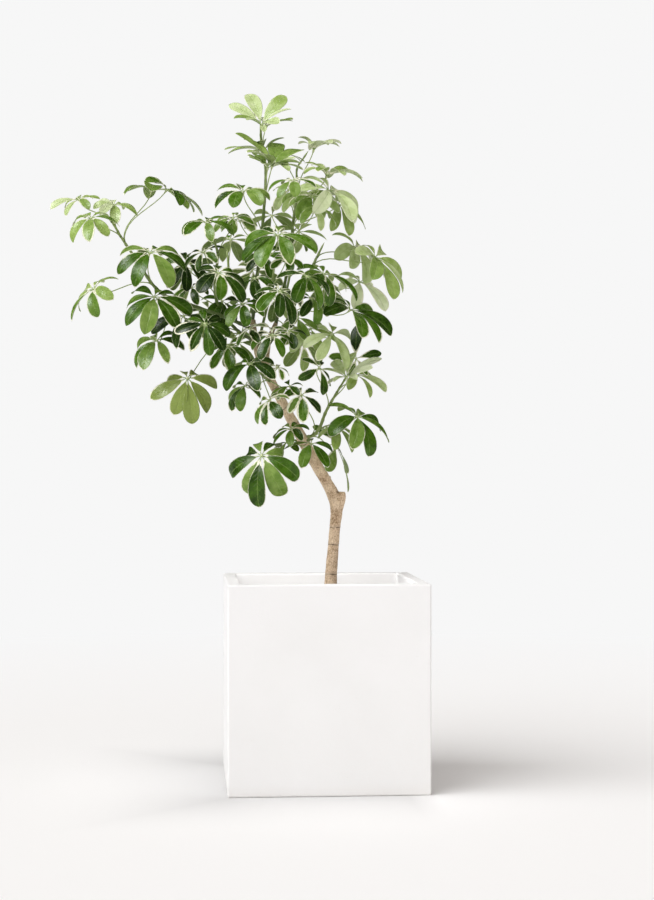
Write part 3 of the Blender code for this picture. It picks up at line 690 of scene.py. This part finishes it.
def leaf_finish():
    """Leathery leaf: colour by tone, which is partly painted light, paler below, with painted light
    through some leaves as olive, a ragged cream margin, a light midrib, faint side veins and a waxy gloss
    that is duller on the under side."""
    paint = Paint("leaf_green", Specular_IOR_Level=0.24)
    marks = paint.put("Attribute", {"attribute_name": "marks"}, {}, "Color")
    olive = paint.put("Attribute", {"attribute_name": "marks"}, {}, "Alpha")
    tone = paint.put("SeparateColor", {}, {0: marks}, 0)
    rim = paint.put("SeparateColor", {}, {0: marks}, 1) * 10.0
    under = paint.put("SeparateColor", {}, {0: marks}, 2)
    spot = paint.put("UVMap", {"uv_map": "blade"}, {})
    s = paint.put("SeparateXYZ", {}, {0: spot}, "X")
    u = paint.put("SeparateXYZ", {}, {0: spot}, "Y")
    aside = abs(s)
    cloud = paint.noise(70.0, 3.0)
    ragged = paint.noise(160.0, 2.0)
    wide = paint.noise(14.0, 1.0)
    midrib = ((0.075 - aside) * 22.0).held()
    veins = (u * 62.0 - aside * 11.0).math("SINE", u * 62.0 - aside * 11.0)
    veins = ((veins - 0.82) * 6.0).held() * (0.95 - aside).held()
    margin = ((wide * 11.0 + ragged * 5.0 - 6.2 - rim) * 1.2).held()
    stalklet = ((0.15 - u) * 18.0).held()

    green = [(0.0, (0.006, 0.022, 0.0002, 1)), (1.0, (0.780, 0.840, 0.580, 1)),
             (0.15, (0.020, 0.057, 0.0005, 1)), (0.30, (0.062, 0.154, 0.003, 1)),
             (0.60, (0.310, 0.438, 0.105, 1)), (0.80, (0.580, 0.690, 0.340, 1))]
    # Painted light: the tone, set leaf by leaf, makes leaves that light shines through paler.
    shade = tone + (cloud - 0.5) * 0.34
    top = paint.put("ValToRGB", {"stops": green}, {0: shade})
    top = paint.mix(veins * 0.10 + midrib * 0.24, top, (0.330, 0.460, 0.130, 1))
    dull_green = [(0.0, (0.040, 0.085, 0.005, 1)), (1.0, (0.780, 0.830, 0.600, 1)),
                  (0.50, (0.320, 0.430, 0.130, 1))]
    below = paint.put("ValToRGB", {"stops": dull_green}, {0: shade})
    below = paint.mix(veins * 0.20 + midrib * 0.40, below, (0.420, 0.520, 0.240, 1))
    colour = paint.mix((under * 2.0 - 0.5).held(), top, below)
    # Painted light: the olive share paints light that shines through a leaf.
    colour = paint.mix(olive, colour, (0.260, 0.330, 0.075, 1))
    colour = paint.mix(margin * 0.95, colour, (0.860, 0.860, 0.640, 1))
    colour = paint.mix(stalklet, colour, (0.380, 0.500, 0.200, 1))
    return paint.finish(
        Base_Color=colour,
        Roughness=0.17 + under * 0.34 + cloud * 0.22,
        relief=(veins * -0.5 + midrib * -0.8 + cloud * 1.2, 0.0005),
    )


def stalk_finish():
    """Green bark of young stems and stalks: cream at the knobs, brown and corky where it is oldest."""
    paint = Paint("stalk_green", Specular_IOR_Level=0.4)
    marks = paint.put("Attribute", {"attribute_name": "marks"}, {}, "Color")
    age = paint.put("SeparateColor", {}, {0: marks}, 0)
    cloud = paint.noise(120.0, 3.0)
    stops = [(0.0, (0.640, 0.690, 0.400, 1)), (1.0, (0.240, 0.170, 0.095, 1)),
             (0.25, (0.380, 0.470, 0.170, 1)), (0.45, (0.130, 0.190, 0.045, 1)),
             (0.70, (0.060, 0.090, 0.022, 1))]
    colour = paint.put("ValToRGB", {"stops": stops}, {0: age + (cloud - 0.5) * 0.12})
    return paint.finish(
        Base_Color=colour,
        Roughness=0.42 + age * 0.3,
        relief=(paint.noise(700.0, 2.0) * age + cloud * 0.3, 0.0004),
    )


leaf_green = leaf_finish()
stalk_green = stalk_finish()


def grow(node, stem, leaves, oldest=0.70):
    """One leafy stem in place of its CAD node: a piece of leaflets and a piece of stem and stalks.

    Its rows are across, height, depth and radius in cm, and oldest is the age of the skin at its foot."""
    stem_shape, stem_age, line, way = shoot(stem, oldest)
    grown = [stalk(leaf, line, way) for leaf in leaves]
    vertices, faces = together([stem_shape] + [shape for shape, age in grown])
    ages = np.concatenate([stem_age] + [age for shape, age in grown])
    stalks = new_piece(node + "_stalks", vertices, faces, stalk_green)
    mark(stalks.data, "marks", np.stack((ages, ages, ages, ages), axis=-1))

    made = [leaflets(leaf, 1000 + round(10 * leaf.height)) for leaf in leaves]
    vertices, faces = together([(corners, sides) for corners, sides, marks, spots in made])
    blades = new_piece(node + "_leaves", vertices, faces, leaf_green)
    mark(blades.data, "marks", np.concatenate([marks for corners, sides, marks, spots in made]))
    spots = np.concatenate([spots for corners, sides, marks, spots in made])
    loop_corners = np.empty(len(blades.data.loops), int)
    blades.data.loops.foreach_get("vertex_index", loop_corners)
    layer = blades.data.uv_layers.new(name="blade")
    layer.uv.foreach_set("vector", spots[loop_corners].ravel())
    soften = blades.modifiers.new("soften", "SUBSURF")
    soften.levels = 1
    soften.render_levels = 1
    soften.uv_smooth = "NONE"
    for piece in (stalks, blades):
        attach(piece, "root")
        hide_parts(node)


grow("leader_stem", (
    (-13.0, 84.6, 0.4, 0.40), (-12.4, 91.0, 0.5, 0.42), (-11.5, 99.0, 0.5, 0.38), (-10.8, 107.0, 0.2, 0.34),
    (-10.6, 113.0, 0.0, 0.30), (-11.4, 118.0, 0.0, 0.26), (-11.5, 120.4, 0.0, 0.22),
), (
    Leaf(-11.4, 121.2, -0.2, -35, 176, 8, 8, 8.2, 40, 30, 0.68),
    Leaf(-10.4, 121.0, 5.0, 20, 66, 0, 7, 5.6, 42, 30, 0.50),
    Leaf(-9.4, 113.5, -6.0, -22, -140, 0, 9, 9.6, 40, 34, 0.58),
    Leaf(-14.7, 108.8, -4.0, 32, -4, -16, 7, 7.4, 30, 76, 0.36),
    Leaf(-15.3, 103.4, 1.0, 30, -20, -15, 6, 5.2, 20, 65, 0.45),
    Leaf(-8.3, 100.8, -13.0, 36, -8, 22, 9, 9.2, 24, 84, 0.24),
    Leaf(-11.0, 116.4, 3.0, 22, -70, 10, 6, 7.4, 34, 40, 0.50),
    Leaf(-10.2, 113.2, -4.0, 24, 20, 12, 8, 6.2, 44, 34, 0.66),
))


# Second stem
# A shoot from the trunk's fork, which stands beside the leader and a little behind it. Its leaves are
# held to the right into the light, and most are washed pale with painted light.

grow("second_stem", (
    (-8.7, 84.2, 2.4, 0.36), (-7.2, 91.0, 2.6, 0.38), (-6.0, 98.0, 2.4, 0.34), (-5.4, 104.0, 2.0, 0.30),
    (-4.6, 109.0, 1.6, 0.27), (-4.8, 113.0, 1.6, 0.24), (-3.4, 115.4, 1.8, 0.20),
), (
    Leaf(-1.7, 116.6, 2.0, 18, 52, 10, 8, 6.6, 60, 76, 0.84),
    Leaf(-6.5, 115.8, 3.0, 20, 60, 0, 5, 3.6, 15, 30, 0.50),
    Leaf(0.7, 111.8, -3.0, 22, 48, 10, 9, 8.0, 48, 66, 0.66),
    Leaf(1.1, 109.2, -6.0, 46, 46, -10, 8, 9.2, 26, 70, 0.80),
    Leaf(-1.4, 105.9, -8.0, 36, 20, 5, 7, 6.0, 20, 84, 0.56),
    Leaf(-3.4, 108.4, 4.0, 36, -26, 20, 7, 6.4, 22, 70, 0.62),
    Leaf(-5.6, 111.0, -14.0, 30, -20, 30, 7, 5.6, 24, 66, 0.30),
    Leaf(-6.3, 109.3, 9.0, 50, 20, 0, 5, 6.0, 10, 70, 0.70),
    Leaf(-1.9, 108.0, -5.0, 46, 20, 10, 7, 6.6, 20, 72, 0.60),
    Leaf(2.9, 106.6, 0.5, 50, 40, 0, 7, 7.4, 20, 66, 0.64),
))


# Right stem
# A shoot that crosses in front of the fork and leans right, where its longest leaves hang over in
# wide arches, washed pale with painted light.

grow("right_stem", (
    (-9.9, 80.8, 1.4, 0.36), (-6.4, 85.4, -1.0, 0.36), (-4.4, 90.0, -1.8, 0.33), (-2.0, 95.0, -2.0, 0.29),
    (-0.3, 98.4, -1.6, 0.24),
), (
    Leaf(5.9, 98.8, 2.0, 50, 52, -6, 8, 8.0, 24, 62, 0.76),
    Leaf(9.7, 96.9, -4.5, 52, 52, -8, 8, 9.0, 26, 56, 0.64),
    Leaf(6.9, 92.3, 1.5, 44, 36, 10, 7, 7.4, 22, 70, 0.88),
    Leaf(0.1, 93.7, -7.0, 38, 44, -14, 8, 8.2, 24, 80, 0.38),
    Leaf(5.1, 87.1, -4.0, 46, 54, 0, 7, 10.2, 28, 60, 0.26),
    Leaf(-3.0, 93.3, -17.5, 38, 30, 15, 6, 7.2, 16, 80, 0.22),
    Leaf(-2.2, 89.2, -9.0, 44, 36, 15, 6, 5.8, 14, 80, 0.20),
    Leaf(-4.6, 85.6, -4.0, 52, -20, 20, 5, 5.2, 8, 66, 0.32),
    Leaf(1.7, 82.6, -6.0, 50, 24, 5, 7, 7.4, 10, 60, 0.74),
    Leaf(-2.2, 83.6, 0.0, 52, 0, 15, 6, 6.2, 8, 55, 0.60),
))


# Low right stem
# A light green shoot that leaves the trunk low on its right side and turns up again, with thin stalks
# to the lowest leaves on that side.

grow("low_right_stem", (
    (-4.0, 63.4, -1.0, 0.42), (-1.8, 63.8, -1.4, 0.42), (-0.5, 65.4, -1.6, 0.40), (0.6, 68.2, -1.6, 0.36),
    (2.4, 71.4, -1.2, 0.30), (4.0, 74.0, -1.0, 0.24),
), (
    Leaf(4.5, 74.6, -3.0, -25, 150, 4, 8, 7.6, 34, 32, 0.88),
    Leaf(6.2, 75.0, 6.0, 40, 46, -10, 7, 6.8, 24, 60, 0.74),
    Leaf(6.2, 78.1, 5.5, -68, 172, 6, 5, 6.6, 14, 24, 0.18),
    Leaf(6.3, 67.3, -5.0, 46, 40, 0, 8, 9.0, 20, 70, 0.32),
    Leaf(2.6, 65.3, -3.0, 30, 34, 20, 6, 6.0, 10, 70, 0.62),
    Leaf(2.3, 62.3, 5.0, 70, 76, 0, 5, 9.4, 5, 30, 0.30),
    Leaf(-0.6, 76.4, -5.0, 66, 44, 0, 5, 6.0, 5, 44, 0.14),
    Leaf(-3.9, 71.3, -8.0, 52, 2, 6, 6, 5.6, 16, 62, 0.22),
), 0.30)


# Low shoot
# A short young shoot on the trunk's front, with the lowest leaves of the plant hung over the bare
# trunk. They are its glossiest and darkest, with a clear cream margin.

grow("low_shoot", (
    (-5.0, 65.2, -1.0, 0.34), (-5.6, 64.0, -2.8, 0.32), (-6.2, 63.0, -4.6, 0.28),
), (
    Leaf(-2.1, 62.3, -6.0, 38, 6, -36, 5, 6.6, 20, 76, 0.26),
    Leaf(-11.3, 60.1, -9.0, 64, -22, 2, 9, 9.3, 14, 80, 0.31),
    Leaf(-6.5, 62.5, 1.6, 36, -50, 0, 5, 4.2, 20, 70, 0.30),
    Leaf(-5.9, 65.0, -5.0, 32, -24, 15, 7, 5.2, 24, 74, 0.34),
), 0.48)


# Low left stem
# A short shoot on the trunk's left side, below the fork, that points at the viewer and carries three
# leaves to the left and two small young ones.

grow("low_left_stem", (
    (-9.4, 73.6, -0.2, 0.34), (-10.6, 74.4, -2.2, 0.33), (-11.4, 75.2, -4.4, 0.28),
), (
    Leaf(-9.9, 70.3, -10.5, 46, -44, 5, 6, 5.8, 12, 64, 0.30),
    Leaf(-14.3, 73.0, -4.0, 38, -44, -15, 7, 6.0, 20, 76, 0.34),
    Leaf(-13.4, 76.9, -9.0, 34, -30, -20, 7, 7.8, 24, 80, 0.26),
    Leaf(-6.1, 72.9, -6.5, 36, -36, 0, 5, 4.6, 20, 60, 0.36),
    Leaf(-8.4, 76.4, -9.0, 40, 20, 10, 5, 3.8, 16, 60, 0.30),
), 0.48)


# Left arm
# A long shoot that grows out to the left almost level and then turns up. It carries the outermost
# leaves, which hang in clear umbrellas one below the other.

grow("left_arm", (
    (-12.9, 83.4, 0.4, 0.42), (-17.0, 85.2, -0.6, 0.42), (-23.0, 87.4, -1.6, 0.40),
    (-28.4, 89.2, -2.6, 0.38), (-31.4, 91.6, -3.0, 0.36), (-34.0, 95.6, -2.6, 0.33),
    (-36.6, 99.4, -2.2, 0.29), (-38.8, 103.0, -2.0, 0.24),
), (
    Leaf(-44.8, 107.0, 0.0, 32, -30, 0, 7, 5.6, 26, 62, 0.66),
    Leaf(-42.6, 103.7, -5.0, 38, -14, 0, 7, 7.0, 22, 80, 0.50),
    Leaf(-38.4, 106.1, 2.0, 34, 10, 0, 8, 5.8, 28, 75, 0.72),
    Leaf(-31.6, 108.8, 0.0, 12, 72, -10, 6, 9.6, 28, 64, 0.40),
    Leaf(-31.9, 97.4, -8.0, 36, 16, 15, 8, 9.2, 24, 82, 0.30),
    Leaf(-31.1, 89.3, -8.0, 44, 4, -12, 8, 8.6, 18, 66, 0.34),
    Leaf(-42.1, 90.7, -3.0, 48, -54, -10, 7, 7.6, 20, 72, 0.52),
    Leaf(-30.6, 81.3, -5.0, 42, -24, 0, 7, 7.4, 18, 74, 0.34),
    Leaf(-14.8, 88.1, -8.0, 40, -24, -25, 7, 5.8, 18, 74, 0.26),
    Leaf(-28.8, 109.0, -1.0, 34, 78, 0, 5, 8.8, 22, 54, 0.30),
))


# Middle stem
# A dark green shoot between the leader and the left arm. Its leaves face the viewer in whorls, and
# the lowest hangs behind the others and is lit through, its olive green painted light.

grow("middle_stem", (
    (-12.4, 81.0, 0.4, 0.36), (-16.0, 83.4, 2.4, 0.37), (-19.2, 87.4, 2.2, 0.36), (-20.0, 92.0, 1.0, 0.33),
    (-19.4, 97.0, 0.0, 0.29), (-20.4, 100.6, -1.6, 0.24),
), (
    Leaf(-21.6, 103.1, -5.0, 32, -12, -28, 7, 6.8, 26, 76, 0.34),
    Leaf(-19.3, 93.8, -9.0, 38, 12, -5, 8, 7.2, 20, 78, 0.16),
    Leaf(-24.2, 91.0, 2.0, 38, -40, -5, 6, 5.2, 18, 70, 0.18),
    Leaf(-21.8, 84.4, -12.0, 58, 4, 2, 8, 6.8, 10, 44, 0.14),
    # Its olive share is painted light shining through the leaf.
    Leaf(-25.0, 74.4, -6.0, 60, 4, 12, 8, 8.2, -6, 52, 0.45, 0.8),
    Leaf(-25.7, 85.8, -6.0, 46, -20, -12, 7, 6.8, 14, 60, 0.16),
    Leaf(-22.0, 97.6, 0.0, 36, -40, 10, 6, 5.6, 18, 64, 0.18),
    Leaf(-25.2, 95.6, 3.0, 52, 12, 0, 6, 6.4, 14, 60, 0.14),
    Leaf(-17.6, 80.4, 0.5, 52, -8, 20, 6, 6.0, 14, 60, 0.20),
    Leaf(-16.6, 104.0, 0.5, 36, -18, 10, 6, 5.6, 20, 66, 0.34),
    Leaf(-18.6, 88.6, 4.0, 50, 20, 0, 6, 6.4, 14, 60, 0.12),
))


# Centre stem
# A short shoot in front of the crown's middle, whose small dark leaves close the gap over the fork.

grow("centre_stem", (
    (-11.9, 79.2, 0.2, 0.34), (-11.4, 83.0, -2.8, 0.35), (-10.2, 88.0, -4.6, 0.32), (-9.4, 92.0, -5.4, 0.28),
    (-9.0, 95.0, -6.0, 0.24),
), (
    Leaf(-7.9, 90.5, -19.0, 42, 16, -18, 7, 6.6, 18, 76, 0.16),
    Leaf(-12.6, 92.8, -5.5, 34, -24, 15, 6, 6.0, 22, 76, 0.20),
    Leaf(-9.3, 82.4, -9.0, 44, -10, -15, 7, 5.8, 16, 70, 0.16),
    Leaf(-13.4, 83.6, -6.0, 42, -40, -30, 5, 4.8, 14, 60, 0.20),
    Leaf(-6.8, 96.4, -8.0, 36, 10, 0, 5, 4.6, 20, 60, 0.30),
    Leaf(-6.2, 83.2, -7.0, 44, 10, 20, 5, 4.6, 14, 60, 0.20),
    Leaf(-10.8, 97.2, -2.0, 46, -12, 20, 6, 5.8, 16, 60, 0.16),
))


# Back stems
# Two shoots that fill the crown on the side away from the viewer, with leaves leaning back.

grow("back_left_stem", (
    (-13.0, 84.2, 0.5, 0.34), (-14.6, 87.6, 5.0, 0.35), (-17.0, 92.0, 8.4, 0.32), (-17.6, 97.0, 9.8, 0.27),
), (
    Leaf(-24.0, 94.5, 12.0, 40, 200, 0, 7, 7.0, 15, 55, 0.22),
    Leaf(-17.0, 100.0, 13.0, 30, 180, 20, 7, 7.0, 15, 50, 0.30),
    Leaf(-21.0, 87.0, 13.0, 45, 190, 10, 7, 7.0, 12, 50, 0.18),
    Leaf(-13.0, 94.5, 15.0, 45, 170, -10, 7, 6.8, 12, 50, 0.22),
    Leaf(-15.5, 81.0, 11.0, 50, 180, 20, 6, 6.6, 10, 50, 0.18),
))
grow("back_right_stem", (
    (-9.2, 83.2, 2.4, 0.32), (-8.0, 87.0, 6.4, 0.34), (-6.4, 92.0, 9.2, 0.31), (-5.6, 98.0, 10.2, 0.26),
), (
    Leaf(-4.4, 101.5, 13.0, 30, 170, 10, 7, 7.0, 15, 50, 0.36),
    Leaf(0.0, 91.5, 12.0, 45, 150, 0, 7, 6.8, 12, 55, 0.30),
    Leaf(-8.6, 89.5, 17.0, 50, 180, 10, 7, 6.8, 12, 50, 0.22),
    Leaf(-3.6, 80.8, 12.0, 50, 160, 0, 6, 6.4, 10, 55, 0.30),
    Leaf(-9.4, 104.5, 10.0, 35, 190, 0, 6, 6.4, 15, 50, 0.36),
))


# Floor
# A plain pale studio floor, which fades into the background a few steps away.

FLOOR_HALF = 40.0
PLANTER_HALF = 0.18
BACKGROUND = (0.930, 0.930, 0.930, 1.0)
FLOOR_PALE = (0.905, 0.898, 0.892, 1.0)
FLOOR_SHADED = (0.640, 0.635, 0.632, 1.0)


def floor_finish():
    """Near white, with painted shade close to the planter except on its right side, where its shadow lies,
    and blended from a metre away into the glow of the background."""
    paint = Paint("studio_floor", Roughness=0.9, Specular_IOR_Level=0.1)
    x = paint.put("SeparateXYZ", {}, {0: paint.place}, "X")
    y = paint.put("SeparateXYZ", {}, {0: paint.place}, "Y")
    distance = paint.put("VectorMath", {"operation": "LENGTH"}, {0: paint.place}, "Value")
    # Painted shade: the floor's colour turns greyer near the planter's foot, except on its right.
    painted_shade_by_planter = (1.0 - (x.math("MAXIMUM", abs(x), abs(y)) - PLANTER_HALF) * 3.2).held()
    painted_shade_by_planter = painted_shade_by_planter * painted_shade_by_planter * ((0.19 - x) * 20.0).held()
    paint.finish(Base_Color=paint.mix(painted_shade_by_planter, FLOOR_PALE, FLOOR_SHADED))
    glow = paint.put("Emission", {}, {"Color": BACKGROUND})
    surface = Wire(paint, paint.shader.outputs[0])
    fade = ((distance - 1.0) * 0.5).held()
    blend = paint.put("MixShader", {}, {0: fade, 1: surface, 2: glow})
    paint.tree.links.new(blend.socket, paint.tree.nodes["Material Output"].inputs["Surface"])
    return paint.material


floor_corners = FLOOR_HALF * np.array(((-1, -1, 0), (1, -1, 0), (1, 1, 0), (-1, 1, 0)))
floor = new_piece("studio_floor", floor_corners, [(0, 1, 2, 3)], floor_finish())


# Light and camera
# Daylight all round, and a broad soft window light from the front left, whose glints on the leaves
# have a light of their own. Two fills stand for what the planter's white walls throw back inside it.
# The camera stands level at the height of the lowest leaves, a little left of the planter.

LIGHT_WAY = (0.604, 0.344, -0.719)
DAYLIGHT = (1.0, 0.955, 0.925, 1.0)
DAYLIGHT_RANGE = (("From Min", 0.8), ("From Max", -0.8), ("To Min", 0.34), ("To Max", 0.74))
KEPT_FROM_GLOSS = 0.86
FILL_WIDTH = 0.26
LENS = 76.54
SENSOR = 36.0
HORIZON_SHIFT = 0.01
CAMERA_LOOKS = (0.0741, 0.9972)

scene = bpy.context.scene
scene.view_settings.view_transform = "Standard"
scene.view_settings.look = "None"

world = bpy.data.worlds.new("daylight")
world.use_nodes = True
scene.world = world
sky = world.node_tree
shown, lit = sky.nodes["Background"], sky.nodes.new("ShaderNodeBackground")
shown.inputs["Color"].default_value = BACKGROUND
lit.inputs["Color"].default_value = DAYLIGHT
direction = sky.nodes.new("ShaderNodeTexCoord")
ways = sky.nodes.new("ShaderNodeSeparateXYZ")
front = sky.nodes.new("ShaderNodeMapRange")
sky.links.new(direction.outputs["Generated"], ways.inputs[0])
sky.links.new(ways.outputs["Y"], front.inputs["Value"])
for name, value in DAYLIGHT_RANGE:
    front.inputs[name].default_value = value
rays = sky.nodes.new("ShaderNodeLightPath")
dim = sky.nodes.new("ShaderNodeMath")
dim.operation = "MULTIPLY_ADD"
dim.inputs[1].default_value = -KEPT_FROM_GLOSS
dim.inputs[2].default_value = 1.0
sky.links.new(rays.outputs["Is Glossy Ray"], dim.inputs[0])
level = sky.nodes.new("ShaderNodeMath")
level.operation = "MULTIPLY"
sky.links.new(front.outputs[0], level.inputs[0])
sky.links.new(dim.outputs[0], level.inputs[1])
sky.links.new(level.outputs[0], lit.inputs["Strength"])
either = sky.nodes.new("ShaderNodeMixShader")
sky.links.new(rays.outputs["Is Camera Ray"], either.inputs[0])
sky.links.new(lit.outputs[0], either.inputs[1])
sky.links.new(shown.outputs[0], either.inputs[2])
sky.links.new(either.outputs[0], sky.nodes["World Output"].inputs["Surface"])

window = bpy.data.lights.new("window", "SUN")
window.energy = 2.25
window.angle = math.radians(58)
window.color = (0.985, 1.0, 1.015)
window_place = bpy.data.objects.new("window", window)
window_place.rotation_euler = Vector(LIGHT_WAY).to_track_quat("-Z", "Y").to_euler()
window_place.visible_glossy = False
scene.collection.objects.link(window_place)

glints = bpy.data.lights.new("window_glints", "SUN")
glints.energy = 4.5
glints.angle = math.radians(34)
glints_place = bpy.data.objects.new("window_glints", glints)
glints_place.rotation_euler = window_place.rotation_euler
glints_place.visible_diffuse = False
glints_place.visible_camera = False
scene.collection.objects.link(glints_place)

lit_rim = bpy.data.collections.new("lit_rim")
lit_rim.objects.link(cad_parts["planter"])
for name, depth, energy, place, way in (
    ("inside_fill", 0.04, 0.34, (0.0, -0.10, 0.356), (0.0, 1.0, 0.0)),
    ("rim_fill", 0.26, 0.40, (0.0, -0.06, 0.60), (0.0, 0.22, -0.26)),
):
    fill = bpy.data.lights.new(name, "AREA")
    fill.shape = "RECTANGLE"
    fill.size = FILL_WIDTH
    fill.size_y = depth
    fill.energy = energy
    fill_place = bpy.data.objects.new(name, fill)
    fill_place.location = place
    fill_place.rotation_euler = Vector(way).to_track_quat("-Z", "Y").to_euler()
    fill_place.visible_camera = False
    fill_place.visible_glossy = False
    fill_place.light_linking.receiver_collection = lit_rim
    scene.collection.objects.link(fill_place)

view = bpy.data.cameras.new("photo_view")
view.lens = LENS
view.sensor_width = SENSOR
view.shift_y = HORIZON_SHIFT
view.clip_end = 100.0
viewer = bpy.data.objects.new("photo_view", view)
viewer.location = EYE
viewer.rotation_euler = (math.pi / 2, 0.0, -math.atan2(*CAMERA_LOOKS))
scene.collection.objects.link(viewer)
scene.camera = viewer
